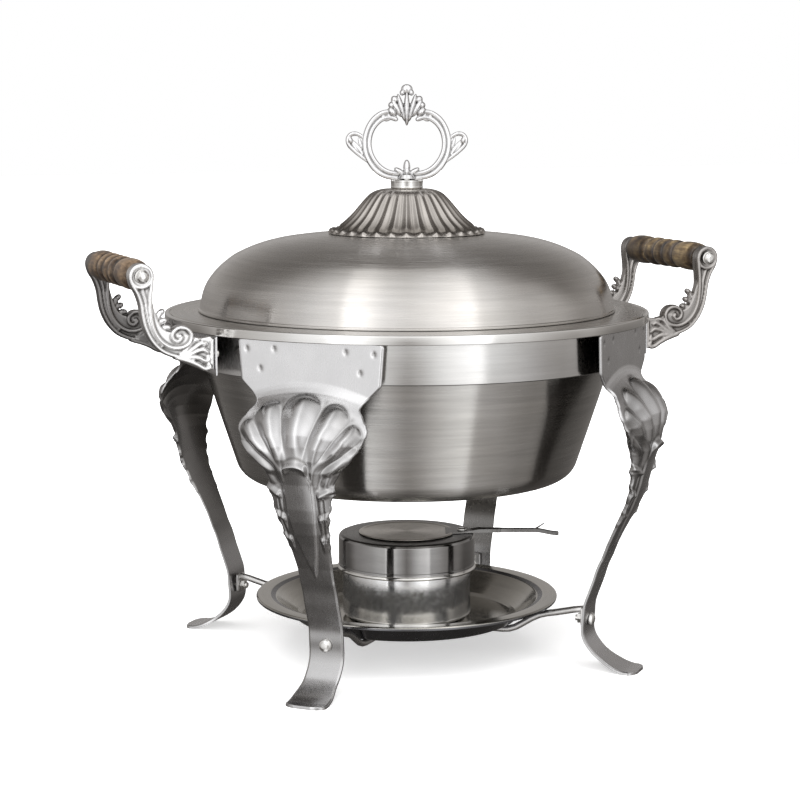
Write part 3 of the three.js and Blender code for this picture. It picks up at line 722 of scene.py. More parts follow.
# ------------------------------------------------------------------ stand: legs
BASE = [(249.2, 168), (222, 168), (219, 168.9), (216, 170.8), (213, 173.9), (210, 177.2), (205, 182.0), (199, 186.6), (190, 191.4), (182, 193.0), (173, 193.6), (165, 192.4), (156, 189.0), (147, 186.6), (138, 184.2), (129, 181.0), (120, 176.9), (111, 172.0), (102, 167.5), (93, 163.0), (84, 159.3), (75, 155.1)]
DROP = [(249.2, 0), (216, 0), (209, 0.0003), (203, 0.001), (198, 0.0018), (190, 0.0036), (182, 0.0062), (173, 0.010), (163, 0.0115), (153, 0.010), (146, 0.009), (130, 0.007), (115, 0.006), (100, 0.0045), (84, 0.0015), (75, 0.0)]
OUTLINE = [
    (249.2, 53.2), (248.4, 54), (222.4, 52), (221, 51.3), (209.6, 39.6), (207.6, 38.9), (205.6, 39.6), (203, 42.2), (200.6, 43.6), (199.4, 44.2), (197.2, 46.4), (193.5, 47.9), (190, 47.7),
    (187.5, 46.4), (185.6, 45.6), (182.6, 44.6), (179.6, 42.2), (176.6, 39.0), (173, 36.0), (169.5, 33.4), (166, 30.8), (162, 28.6), (158.6, 26.3), (155.6, 24.6), (153.2, 24.4), (151.2, 25.2), (149.2, 25.0), (147, 23.0),
    (144.6, 21.9), (141.8, 21.4), (139.8, 21.9), (137.6, 21.4), (135.4, 19.6), (132.5, 19.1), (130.2, 19.7), (127.8, 18.9), (125.4, 17.5), (121, 17.2), (118.8, 17.5), (116.6, 16.4), (112, 15.7), (109.4, 15.9), (107, 14.9), (102, 14.4), (98, 13.9), (92, 13.3), (84, 13), (40, 13),
]
FOOT = [(84, 159.3), (75, 155.1), (65, 151.9), (56, 148.6), (47, 145.6), (38, 144.9), (31, 144.3), (26, 144.7), (21.6, 146.4), (17.6, 149.2), (13.6, 152.9), (10.0, 157.6), (6.8, 162.8), (4.2, 168.2), (2.5, 174.0), (2.2, 178.5), (2.2, 183.4)]
WELDS = [(-47, 243), (-26.5, 243.6), (26.5, 243.6), (47, 243), (-37, 230), (37, 230)]
LOBES = [(0.0, 15.4, 62.0), (26.4, 11.2, 62.0), (44.4, 7.4, 60.0), (58.6, 7.0, 54.5)]


def leg_base(w, z):
    zz = z + 0.0045 * w * w * sstep(120, 190, z)
    zz = np.where(z > 222, 249.0, np.minimum(zz, 249.2))
    return table(BASE, zz) - table(DROP, zz) * w * w


def leg_relief(w, z, W):
    """Height of the pressed pattern over the smooth sheet, and how much painted shade the point gets: darker in the
    creases, at the lobe tops, in the weld dimples and over the lower leg.
    """
    aw = np.abs(w)
    rho = np.hypot(w, z - 152.0)
    th = np.degrees(np.arctan2(aw, z - 152.0))
    h = np.zeros_like(w)
    painted_leg_shade = np.zeros_like(w)
    for c, half, top in LOBES:
        u = np.clip(np.abs(th - c) / half, 0, 1)
        body = (0.5 + 0.5 * np.cos(math.pi * u)) ** 0.7 * (u < 1)
        top = top - 0.62 * math.radians(half) * top * (1 - np.sqrt(np.clip(1 - u**2, 0, 1)))
        end = np.sqrt(np.clip(1 - np.clip((rho - (top - 12.0)) / 12.0, 0, 1) ** 2.0, 0, 1))
        grow = sstep(16, 44, rho)
        h = np.maximum(h, (4.7 - 0.018 * c) * body * grow * end)
        # Painted shade along the lobe sides and over the top end of each lobe.
        painted_leg_shade = np.maximum(painted_leg_shade, 0.3 * sstep(0.5, 1.0, u) * (u < 1) * grow * (rho < top))
        painted_leg_shade = np.maximum(painted_leg_shade, (0.3 * sstep(top - 24, top - 10, rho) + 0.42 * sstep(top - 11, top - 3, rho)) * (1 - sstep(top, top + 2.5, rho)) * (u < 1) * (1 - 0.35 * u**2))
    # Painted shade along the edges between the fan's lobes.
    in_fan = sstep(18, 34, rho) * (1 - sstep(60, 63, rho))
    for edge in (15.4, 37.2, 51.7):
        painted_leg_shade = np.maximum(painted_leg_shade, 0.5 * np.exp(-(((th - edge) / 1.7) ** 2)) * in_fan)
    # painted shade round the lobe tips, where the shell rises from the flat plate
    tip = np.full_like(w, 99.0)
    for c, half, top in LOBES:
        top = top - 0.62 * math.radians(half) * top * (1 - np.sqrt(np.clip(1 - (np.clip(np.abs(th - c) / half, 0, 1)) ** 2, 0, 1)))
        tip = np.where(np.abs(th - c) <= half, rho - top, tip)
    painted_leg_shade = np.maximum(painted_leg_shade, 0.35 * np.exp(-(((tip + 1.2) / 1.8) ** 2)))
    # long middle leaf, its tip rolled forward at the top
    hw = table([(171, 8.2), (166, 8.8), (158, 10.4), (148, 11.2), (136, 10.8), (120, 8.8), (104, 5.6), (92, 2.4), (83, 0.0)], z)
    panel = (1 - sstep(hw - 1.9, hw + 0.5, aw)) * sstep(84, 96, z) * (1 - sstep(168.5, 171.5, z))
    h = h + 1.1 * panel
    lip = bump(z, 169.6 - 0.045 * w * w, 2.5) * (1 - sstep(7.2, 9.6, aw))
    h = h + 2.9 * lip
    # Painted shade across the leaf's rolled tip, along its outline and over the lower leg below the shell.
    painted_leg_shade = np.maximum(painted_leg_shade, 0.9 * bump(z, 174.4 - 0.05 * w * w, 1.7) * (1 - sstep(8, 10.5, aw)))
    painted_leg_shade = np.maximum(painted_leg_shade, 0.3 * bump(z, 164.6 - 0.045 * w * w, 1.3) * (1 - sstep(6, 8.5, aw)))
    painted_leg_shade = np.maximum(painted_leg_shade, 0.6 * np.exp(-(((aw - hw - 1.0) / 1.4) ** 2)) * sstep(94, 104, z) * (1 - sstep(166, 171, z)))
    painted_leg_shade = np.maximum(painted_leg_shade, 0.5 * sstep(184, 168, z) * sstep(40, 80, z) * (1 - 0.45 * panel))
    # side leaves: rolled tips at mid height, with a second smaller pair lower down
    for zc, w0, amp, tail in ((150.4, 12.5, 2.7, 26), (133.6, 11.4, 1.5, 18), (118.0, 9.6, 1.1, 14)):
        zl = zc - 2.5 + 0.42 * (aw - w0)
        side = sstep(w0, w0 + 2.2, aw)
        h = h + amp * bump(z, zl, 2.1) * side
        h = h + 0.9 * side * sstep(zc - tail, zc - 3, z) * (1 - sstep(zc - 2, zc, z))
        # Painted shade just above each rolled side-leaf tip.
        painted_leg_shade = np.maximum(painted_leg_shade, 0.8 * bump(z, zl + 3.6, 1.4) * side)
    h = h - 0.6 * bump(aw, hw + 5.2, 0.9) * sstep(110, 124, z) * (1 - sstep(144, 149, z))
    # ribs running up from the side leaves into the shell
    fan2 = sstep(150, 158, z) * (1 - sstep(172, 186, z))
    h = h + 0.8 * fan2 * np.cos((aw / np.maximum(W, 1)) * math.pi * 5.0) * sstep(8, 11, aw)
    # Painted shade in the grooves between the ribs.
    painted_leg_shade = np.maximum(painted_leg_shade, 0.12 * fan2 * sstep(0.5, 1.0, -np.cos((aw / np.maximum(W, 1)) * math.pi * 5.0)) * sstep(8, 11, aw))
    # spot welds on the plate
    for wx, wz in WELDS:
        d = np.hypot(w - wx, z - wz)
        h = h - 1.0 * np.exp(-((d / 1.35) ** 2))
        # Painted shade in each weld dimple.
        painted_leg_shade = np.maximum(painted_leg_shade, np.exp(-((d / 1.25) ** 2)) * 1.0)
    # the sheet's edge rolls back a little
    h = h - 0.9 * sstep(W - 1.7, W, aw) ** 2
    return h, np.clip(painted_leg_shade, 0, 1)


def leg_mesh(cols=112):
    zs = np.r_[np.linspace(249.2, 224, 20)[:-1], np.linspace(224, 84, 210)]
    t = np.linspace(-1, 1, cols)
    t = np.sign(t) * (1 - (1 - np.abs(t)) ** 1.12)
    Z = np.repeat(zs[:, None], cols, 1)
    W = table(OUTLINE, zs)[:, None]
    Wd = W * t[None, :]
    # the plate's lower corners and the shell's tips hang with the fan, so rows stay level
    B = leg_base(Wd, Z)
    H, C = leg_relief(Wd, Z, np.repeat(W, cols, 1))
    e = 0.4
    dw = (leg_base(Wd + e, Z) - leg_base(Wd - e, Z)) / (2 * e)
    dz = (leg_base(Wd, np.minimum(Z + e, 249.2)) - leg_base(Wd, Z - e)) / (2 * e)
    nx = 1 / np.sqrt(1 + dw**2 + dz**2)
    N = np.stack([nx, -dw * nx, -dz * nx], -1)
    P = np.stack([B, Wd, Z], -1)
    front = P + N * H[..., None]
    back = P - N * 1.9
    # lower strip and foot, along its own path
    path = catmull([(r, z) for z, r in FOOT], 5)
    path = [np.array(p) for p in path][1:]
    rows_f, rows_b, rows_shade = [], [], []
    n = len(path)
    for i, p in enumerate(path):
        q = path[min(i + 1, n - 1)] - (path[i - 1] if i else np.array([159.6, 84.6]))
        nn = np.array([-q[1], q[0]])
        nn = nn / np.linalg.norm(nn)
        if nn[0] < 0 and p[1] > 20:
            nn = -nn
        if nn[1] < 0 and p[1] <= 20:
            nn = -nn
        if p[1] < 2.6:
            nn = np.array([0.0, 1.0])
        s = 183.4 - p[0]
        half = 13 + 2.0 * float(sstep(12, 3, p[1]))
        if p[1] < 3.5 and s < 6.0:
            half = half * math.sqrt(max(0.0, 1 - ((6.0 - s) / 6.6) ** 2)) ** 0.9
        ww = half * t
        rise = 0.55 * (1 - sstep(half - 1.4, half, np.abs(ww))) - 0.55
        thick = 2.2 if p[1] < 40 else 2.0
        if p[1] < 2.6:
            thick = 2.2
        rows_f.append(np.stack([p[0] + nn[0] * rise, ww, p[1] + nn[1] * rise], -1))
        rows_b.append(np.stack([np.full(cols, p[0] - nn[0] * thick), ww, np.maximum(np.full(cols, p[1] - nn[1] * thick), 0.0)], -1))
        # Painted shade on the foot strip: darker from z 12 upwards, most around z 34.
        rows_shade.append(np.full(cols, 0.34 * float(sstep(12, 30, p[1])) + 0.26 * float(bump(p[1], 34, 11))))
    front = np.concatenate([front, np.array(rows_f)])
    back = np.concatenate([back, np.array(rows_b)])
    C = np.concatenate([C, np.array(rows_shade)])
    R = len(front)
    verts = np.concatenate([front.reshape(-1, 3), back.reshape(-1, 3)])
    idx = np.arange(R * cols).reshape(R, cols)
    a, b, c, d = idx[:-1, :-1], idx[1:, :-1], idx[1:, 1:], idx[:-1, 1:]
    F = [np.stack([a, b, c, d], -1).reshape(-1, 4)]
    o = R * cols
    F.append(np.stack([a + o, d + o, c + o, b + o], -1).reshape(-1, 4))
    for col in (0, cols - 1):
        u, w2 = idx[:-1, col], idx[1:, col]
        F.append(np.stack([u, u + o, w2 + o, w2], -1) if col == 0 else np.stack([u, w2, w2 + o, u + o], -1))
    F.append(np.stack([idx[0, :-1], idx[0, 1:], idx[0, 1:] + o, idx[0, :-1] + o], -1))
    F.append(np.stack([idx[-1, :-1], idx[-1, :-1] + o, idx[-1, 1:] + o, idx[-1, 1:]], -1))
    # Painted shade on the back of the sheet: always darkened, more so higher up.
    inner = 0.35 + 0.3 * sstep(28, 45, back[..., 2]) + 0.35 * sstep(60, 85, back[..., 2])
    painted_shade = np.concatenate([C.reshape(-1), inner.reshape(-1)])
    return verts, np.concatenate(F).tolist(), painted_shade


LEGS = [("front_left", -135), ("front_right", -45), ("rear_right", 45), ("rear_left", 135)]
lv, lf, lc = leg_mesh()
leg0 = None
for where, deg in LEGS:
    if leg0 is None:
        leg0 = make("leg_skin_" + where, lv, lf, "stand", "leg_" + where, M_LEG, sharp=62, attrs={"painted_shade": lc})
        leg0.rotation_euler = (0, 0, math.radians(deg))
    else:
        copy_of(leg0, "leg_skin_" + where, "stand", "leg_" + where, math.radians(deg))

# leg screws: domed heads with a shank, nuts behind
sv, sf, sarc = lathe_mesh([(0, -11), (2.1, -11), (2.1, -0.1)] + rounded([(2.1, 0), (4.9, 0), (4.8, 1.1), (3.9, 2.4), (2.2, 3.1), (0, 3.3)], 0.5, 4)[1:], 40)
sv = np.array(sv)
screw_v = np.stack([145.05 + sv[:, 2], sv[:, 1], 35.5 - sv[:, 0]], -1)
screw0 = None
for where, deg in LEGS:
    if screw0 is None:
        screw0 = make("leg_screw_skin_" + where, screw_v, sf, "stand", "leg_screw_" + where, M_SCREW)
        screw0.rotation_euler = (0, 0, math.radians(deg))
    else:
        copy_of(screw0, "leg_screw_skin_" + where, "stand", "leg_screw_" + where, math.radians(deg))


# crossed bars: drawn wire with flattened ends
def cross_bar(dip):
    half = [(139.9, 42.4), (133, 42.1), (119, 37.2), (106, 36.4), (86.5, 22.6), (83.0, 21.4)]
    if dip:
        half += [(17, 21.4), (13, 20.6), (7.5, 16.6), (5, 16.0)]
    pts = [np.array([r, 0, z]) for r, z in half]
    pts = pts + [np.array([-p[0], 0, p[2]]) for p in pts[::-1]]
    out = []
    for p, q in zip(pts, pts[1:]):
        n = max(1, int(np.linalg.norm(q - p) / 6))
        out += [p + (q - p) * k / n for k in range(n)]
    out.append(pts[-1])
    for _ in range(2):
        out = [out[0]] + [(out[i - 1] + 2 * out[i] + out[i + 1]) / 4 for i in range(1, len(out) - 1)] + [out[-1]]
    return tube(out, 2.45, sides=20)


def tab(sign):
    """A flattened bar end: a rounded tab with bevelled edges."""
    o = rounded([(-5.8, 30.4), (5.8, 30.4), (5.8, 44.6), (-5.8, 44.6)], 2.5, 6, closed=True)
    n = len(o)
    verts, faces = [], []
    for x, k in ((139.3, 0.93), (139.6, 1.0), (140.8, 1.0), (141.1, 0.93)):
        for p in o:
            verts.append(np.array([sign * x, p[0] * k, 37.5 + (p[1] - 37.5) * k]))
    for j in range(3):
        for i in range(n):
            i2 = (i + 1) % n
            faces.append([j * n + i, j * n + i2, (j + 1) * n + i2, (j + 1) * n + i])
    faces.append(list(range(n - 1, -1, -1)))
    faces.append(list(range(3 * n, 4 * n)))
    return verts, faces


for name, dip, deg in (("cross_bar_upper", False, 45), ("cross_bar_lower", True, -45)):
    verts, faces = [], []
    for v, f in (cross_bar(dip), tab(1), tab(-1)):
        k = len(verts)
        verts += list(v)
        faces += [[i + k for i in q] for q in f]
    ob = make(name + "_wire", verts, faces, "stand", name, M_WIRE)
    ob.rotation_euler = (0, 0, math.radians(deg))


# ------------------------------------------------------------------ stand: side handles
def plate_mesh():
    cols, rows = 85, 22
    y = np.linspace(-63, 63, cols)
    z = np.linspace(222.4, 249.2, rows)
    Y, Zz = np.meshgrid(y, z)
    # the edges roll back a little
    edge = np.minimum(63 - np.abs(Y), np.minimum(Zz - 222.4, 249.2 - Zz))
    roll = 0.5 * sstep(1.2, 0, edge)
    welds = sum(np.exp(-((np.hypot(Y - a, Zz - b) / 1.4) ** 2)) for a, b in ((-30, 243), (-30, 229), (30, 243), (30, 229), (0, 236)))
    front = np.stack([167.5 - roll - 0.7 * welds, Y, Zz], -1).reshape(-1, 3)
    back = np.stack([165.9 + roll * 0.4, Y, Zz], -1).reshape(-1, 3)
    idx = np.arange(rows * cols).reshape(rows, cols)
    a, b, c, d = idx[:-1, :-1], idx[:-1, 1:], idx[1:, 1:], idx[1:, :-1]
    o = rows * cols
    F = [np.stack([a, b, c, d], -1).reshape(-1, 4), np.stack([a + o, d + o, c + o, b + o], -1).reshape(-1, 4)]
    for line in (idx[0], idx[:, -1], idx[-1][::-1], idx[:, 0][::-1]):
        u, w = line[:-1], line[1:]
        F.append(np.stack([u, u + o, w + o, w], -1))
    # Painted shade in the weld dimples on the front face.
    painted_shade = np.r_[np.clip(welds, 0, 1).reshape(-1), np.zeros(o)]
    return np.concatenate([front, back]), np.concatenate(F).tolist(), painted_shade


pv, pf, pc = plate_mesh()
plate0 = make("handle_plate_skin_right", pv, pf, "stand", "handle_plate_right", M_LEG, sharp=50, attrs={"painted_shade": pc})
copy_of(plate0, "handle_plate_skin_left", "stand", "handle_plate_left", math.pi)

HX, HZ = 218.2, 292.0


def bracket_parts():
    parts = []
    # core web of the arm, the bend and the foot
    core = [
        (168.2, 226.5), (178, 231.5), (189, 234.6), (198.0, 237.0), (204.6, 241.0), (210.6, 248.2), (214.6, 257), (216.6, 266), (218.6, 276), (222.6, 284.6),
        (225.0, 292), (223.0, 297.0), (218.2, 298.8), (213.4, 297.0), (211.4, 292), (211.0, 284), (210.8, 276), (208.6, 267), (205.6, 259), (200.6, 254.0), (188, 251.0), (176, 248.2), (168.2, 247.6),
    ]
    parts.append(slab([tuple(p) for p in catmull(core + core[:1], 3)[:-1]], -2.9, 2.9))
    spine_out = catmull([(218.2, 299.3), (223.4, 297.2), (225.5, 292), (224.4, 286.4), (221.0, 280.6), (218.4, 273.0), (217.2, 264.8), (215.4, 256.8), (211.6, 248.8), (205.6, 242.0), (198.8, 238.2), (190.5, 235.8), (182, 233.0)], 6)
    spine_in = catmull(
        [(218.2, 299.3), (213.0, 297.2), (210.9, 292), (211.2, 285.5), (212.0, 278.5), (212.2, 270.5), (211.6, 262.5), (209.8, 255.4), (206.2, 249.0), (201.2, 244.6), (195.2, 242.4), (189.0, 243.0), (184.6, 246.0), (183.6, 251.0), (187.0, 255.4), (192.8, 256.0), (196.8, 252.6), (196.4, 248.4), (192.8, 247.0), (190.2, 249.4)], 6
    )
    k = len(spine_in)
    rin = np.interp(np.linspace(0, 1, k), [0, 0.15, 0.6, 0.85, 1], [1.3, 1.5, 1.7, 1.5, 1.1])
    for y in (-3.45, 3.45):
        parts.append(tube(plane(spine_out, y), 1.3, sides=10))
        parts.append(tube(plane(spine_in, y), np.minimum(rin, 1.35), sides=10))
        ring = [np.array([HX + 7.5 * math.cos(a), y, HZ + 7.5 * math.sin(a)]) for a in np.linspace(0, 2 * math.pi, 33)]
        parts.append(tube(ring, 1.35, sides=10, cap=False))
        # a thin vein down the arm between the two ridges
        vein = catmull([(217.6, 283.5), (215.4, 275), (214.6, 266.5), (212.8, 258), (209.0, 250.0), (204.0, 244.2)], 6)
        parts.append(tube(plane(vein, y * 0.93), 0.9, sides=8))
    parts.append(tube([(HX, -4.2, HZ), (HX, 4.2, HZ)], 8.0, sides=28, cap=False))
    # thickness across: rails joining both faces so that the edge reads as a rounded bar
    parts.append(tube(plane(spine_out, 0), 1.75, sides=10))
    parts.append(tube(plane(spine_in[: int(k * 0.8)], 0), 1.7, sides=10))
    for y in (-1.9, 1.9):
        parts.append(tube(plane(spine_out, y), 1.55, sides=10))
        parts.append(tube(plane(spine_in, y), 1.4, sides=10))
    # volute eye and the leaf that fills the bend
    parts.append(ellipsoid((191.6, 0, 250.2), (2.6, 4.6, 2.6)))
    parts.append(tube([(190.6, -2.5, 249.4), (190.6, 2.5, 249.4)], 6.4, sides=24, cap=False))
    for a, b, r in (
        ((206.6, 262.6), (203.4, 267.4), 1.9),
        ((207.4, 257.8), (201.8, 261.4), 2.0),
        ((205.6, 253.6), (199.2, 256.4), 1.9),
        ((202.6, 249.8), (197.0, 252.6), 1.7),
    ):
        parts.append(tube(plane(catmull([a, ((a[0] + b[0]) / 2 + 0.3, (a[1] + b[1]) / 2 + 0.7), b], 5)), [2.6] * 5 + [2.3] * 3 + [1.8] * 2 + [r] if False else 2.2, sides=12))
        parts.append(ellipsoid((b[0], 0, b[1]), (r, 3.0, r)))
    # leaves spreading to the plate, their tips curled
    for pts, r0, r1, ball in (
        ([(191.0, 237.8), (187.6, 240.6), (184.4, 243.6), (181.6, 246.8), (178.6, 247.4)], 1.5, 1.3, 1.6),
        ([(190.0, 236.8), (185.0, 239.6), (180.4, 242.6), (176.4, 244.8), (173.4, 244.0)], 1.7, 1.4, 1.7),
        ([(189.5, 236.0), (184.0, 237.8), (178.6, 239.8), (174.6, 240.2), (171.8, 238.6)], 1.8, 1.5, 1.8),
        ([(190.0, 235.4), (184.0, 235.6), (178.4, 235.0), (174.4, 233.0), (171.4, 232.8), (171.6, 235.0)], 2.0, 1.6, 1.6),
        ([(194.0, 236.0), (186.0, 233.4), (179.4, 230.4), (174.2, 227.4), (170.4, 228.0), (171.4, 230.4)], 2.2, 1.8, 1.7),
    ):
        c = catmull(pts, 6)
        rr = np.interp(np.linspace(0, 1, len(c)), [0, 0.5, 1], [r0, (r0 + r1) / 2, r1])
        for y in (-2.9, 0, 2.9):
            parts.append(tube(plane(c, y), rr, sides=10))
        parts.append(ellipsoid((pts[-1][0], 0, pts[-1][1]), (ball, 4.3, ball)))
    # foot pad against the plate
    parts.append(slab([(168.0, 226.4), (169.6, 226.8), (170.2, 236), (169.8, 246.4), (168.0, 247.6)], -4.2, 4.2))
    return parts


def clip_y(parts, lim):
    return [([np.array([p[0], max(-lim, min(lim, p[1])), p[2]]) for p in v], f) for v, f in parts]


bracket0 = fused("handle_bracket_cast_right_front", clip_y(bracket_parts(), 4.9), 0.5, "stand", "handle_bracket_right_front", M_CAST_R, smooth=3, deep=0.22)
bracket0.location = (0, -0.0573, 0)
copy_of(bracket0, "handle_bracket_cast_right_rear", "stand", "handle_bracket_right_rear", 0, (0, 0.0573, 0))
left_a = copy_of(bracket0, "handle_bracket_cast_left_front", "stand", "handle_bracket_left_front", math.pi, (0, -0.0573, 0))
left_b = copy_of(bracket0, "handle_bracket_cast_left_rear", "stand", "handle_bracket_left_rear", math.pi, (0, 0.0573, 0))
# The left brackets take lit and shaded copies of the casting: painted light on the front one, deep painted shade on
# the rear one; the right ones keep the painted-shade copy.
bright = bracket0.data.copy()
bright.materials[0] = M_CAST
left_a.data = bright
dim = bracket0.data.copy()
dim.materials[0] = M_CAST_D
left_b.data = dim


# turned grips: a row of beads, the grooves burnt dark
def grip_mesh(flip):
    ys = np.linspace(-52, 52, 261)
    s = ys * (-1 if flip else 1)
    r = np.full_like(s, 8.4)
    for c, half, top in ((-36.5, 14.8, 10.8), (-14.0, 7.0, 10.7), (0.5, 6.8, 10.7), (15.0, 7.0, 10.8), (37.5, 15.0, 10.95)):
        u = np.clip(np.abs(s - c) / half, 0, 1)
        r = np.maximum(r, 8.4 + (top - 8.4) * np.sqrt(1 - u**2.0))
    for g in (-21.2, -6.6, 7.6, 22.0):
        r = r - 0.55 * np.exp(-(((s - g) / 1.1) ** 2))
    r = np.minimum(r, 8.55 + np.sqrt(np.clip(52.0 - np.abs(ys), 0, 3) * 1.9))
    burn = np.zeros_like(s)
    rings = ((-51, 3.5, 0.5), (-37.5, 2.2, 0.35), (-21.2, 3.6, 1.0), (-6.6, 3.4, 1.0), (7.6, 3.6, 1.0), (22.0, 4.0, 1.0), (31, 4.0, 0.45), (50, 6.5, 1.0), (0.5, 1.6, 0.3))
    if not flip:
        rings = ((-51, 4.0, 0.75), (-37.5, 2.4, 0.3), (-21.2, 4.2, 1.0), (-14.0, 3.0, 0.45), (-6.6, 3.8, 1.0), (0.5, 3.0, 0.5), (7.6, 4.0, 1.0), (15.0, 3.0, 0.55), (26.5, 3.4, 0.8), (37.0, 8.0, 0.85), (50, 7.0, 1.0))
    for g, wd, k in rings:
        burn = np.maximum(burn, k * np.exp(-(((s - g) / wd) ** 2)))
    seg = 72
    prof = [(2.7, -52)] + list(zip(r, ys)) + [(2.7, 52)]
    b = np.r_[burn[0], burn, burn[-1]]
    v, f, _ = lathe_mesh(prof, seg)
    v = np.array(v)
    per = np.repeat(b, seg)
    out = np.stack([v[:, 0] + HX, v[:, 2], HZ + v[:, 1]], -1)
    return out, f, per


for side, turn, m in (("right", 0, M_WOOD_R), ("left", math.pi, M_WOOD_L)):
    v, f, b = grip_mesh(side == "left")
    ob = make("wood_grip_turned_" + side, v, f, "stand", "wood_grip_" + side, m, sharp=60, attrs={"burn": b})
    ob.rotation_euler = (0, 0, turn)

# dome nuts on the grip rods, each on a small washer face
nv, nf, _ = lathe_mesh([(0, 2.0), (2.5, 2.0)] + rounded([(2.5, 0.1), (5.0, 0.1), (5.0, 0.8), (4.4, 1.1), (4.2, 2.2), (3.1, 3.5), (1.5, 4.0), (0, 4.0)], 0.5, 4), 40)
nv = np.array(nv)
nut_v = np.stack([nv[:, 0] + HX, 62.6 + nv[:, 2], HZ - nv[:, 1]], -1)
nut0 = make("grip_nut_dome_right_rear", nut_v, nf, "stand", "grip_nut_right_rear", M_SCREW)
nut_f = np.stack([nv[:, 0] + HX, -62.6 - nv[:, 2], HZ + nv[:, 1]], -1)
nut1 = make("grip_nut_dome_right_front", nut_f, nf, "stand", "grip_nut_right_front", M_SCREW)
copy_of(nut0, "grip_nut_dome_left_front", "stand", "grip_nut_left_front", math.pi)
copy_of(nut1, "grip_nut_dome_left_rear", "stand", "grip_nut_left_rear", math.pi)

# ------------------------------------------------------------------ fuel tray, cup, cover, damper
lathe(
    "fuel_tray_skin",
    rounded(
        [(0, 24.2), (60, 24.2, 0), (79.6, 24.2, 3), (83.4, 25.8, 3), (98.6, 39.7, 3), (102.5, 41.1, 3), (111.4, 41.1, 0.6), (111.6, 39.9, 0.3), (112.6, 39.9, 0.5), (112.9, 41.6, 0.8), (112.0, 42.6, 0.7),
         (102.4, 42.3, 3), (97.8, 40.9, 3), (82.4, 26.9, 3), (79.2, 25.4, 3), (60, 25.4, 0), (0, 25.4)], 0.5, 6),
    "fuel_tray", "fuel_tray", [M_TRAY, M_UNDER], seg=224,
    pick=lambda r, z: 1 if z < max(24.8, min(41.7, 25.9 + (r - 82.4) * 0.91)) else 0,
)
lathe(
    "fuel_cup_skin",
    rounded(
        [(0, 25.7), (44.6, 25.7, 2), (48, 28.4, 2.5), (48, 60.0, 0), (48, 85.6, 0.5), (47.6, 86.4, 0.3), (46.9, 86.2, 0.3), (46.9, 29.4, 2), (44.2, 26.8, 2), (0, 26.8)], 0.5, 6),
    "fuel_cup", "fuel_cup", M_CUP, seg=160,
)
lathe(
    "fuel_cover_skin",
    rounded(
        [(34.0, 86.9, 0.2), (49.7, 86.9, 0.3), (49.7, 62.4, 0.2), (50.2, 61.8, 0.3), (51.5, 61.8, 0.6), (52.0, 62.9, 0.6), (51.4, 64.1, 0.4), (51.0, 64.6, 0.3), (51.0, 66.2, 0.1), (50.8, 66.5, 0.1), (51.0, 66.8, 0.1),
         (51.0, 85.8, 0.9), (50.1, 87.5, 0.8), (48.6, 88.1, 0.5), (36.2, 88.1, 0.2), (35.2, 87.9, 0.2), (34.0, 87.9, 0.2)], 0.3, 4, closed=True),
    "fuel_cover", "fuel_cover", [M_HOLDER, M_DARK, M_RIM], seg=160,
    pick=lambda r, z: 1 if z > 86.8 and r < 50.6 else (2 if z < 64.8 and r > 50.5 else 0),
)


def damper_parts():
    disc = []
    v, f, arc = lathe_mesh(rounded([(0, 88.5), (20, 88.5, 0), (35.2, 88.5, 0.3), (36.0, 88.95, 0.4), (35.4, 89.5, 0.4), (33.4, 89.45, 0.8), (32.0, 89.15, 0.8), (14, 89.2, 2), (0, 89.35)], 0.4, 4), 144)
    disc.append((v, f))
    return disc, arc


dd, darc = damper_parts()
disc = make("damper_disc", dd[0][0], dd[0][1], "damper", "damper", M_DAMPER, attrs={"arc": darc})
disc.rotation_euler = (0, 0, TURN)


def arm_mesh():
    """The pressed strip from the disc, past the rivet, out to the tip: a shallow channel with rolled sides."""
    xs = np.r_[np.linspace(29, 66, 50), np.linspace(66, 73, 22)[1:], np.linspace(73, 114, 60)[1:]]
    half = np.interp(xs, [29, 33, 41.5, 47, 56, 64, 66.5, 69, 71, 75, 112, 113.4, 114], [11, 9.6, 7.0, 5.2, 4.2, 3.4, 3.7, 3.7, 2.9, 2.5, 2.3, 1.9, 1.1])
    t = np.linspace(-1, 1, 17)
    X = np.repeat(xs[:, None], 17, 1)
    Y = half[:, None] * t[None, :]
    chan = np.interp(xs, [29, 46, 54, 114], [0.0, 0.0, 1.35, 1.35])[:, None]
    eye = np.exp(-((np.hypot(X - 68.4, Y) / 2.6) ** 4)) * 0.9
    tab = 5.4 * sstep(93, 102.5, X) * 0
    top = 89.75 + chan * np.abs(t)[None, :] ** 2.5 + eye + tab
    bot = 88.55 + 0 * top
    front = np.stack([X, Y, top], -1).reshape(-1, 3)
    back = np.stack([X, Y, bot], -1).reshape(-1, 3)
    R, Cc = X.shape
    idx = np.arange(R * Cc).reshape(R, Cc)
    a, b, c, d = idx[:-1, :-1], idx[1:, :-1], idx[1:, 1:], idx[:-1, 1:]
    o = R * Cc
    F = [np.stack([a, b, c, d], -1).reshape(-1, 4), np.stack([a + o, d + o, c + o, b + o], -1).reshape(-1, 4)]
    for line in (idx[0][::-1], idx[:, 0], idx[-1], idx[:, -1][::-1]):
        u, w = line[:-1], line[1:]
        F.append(np.stack([u, w, w + o, u + o], -1))
    return np.concatenate([front, back]), np.concatenate(F).tolist()


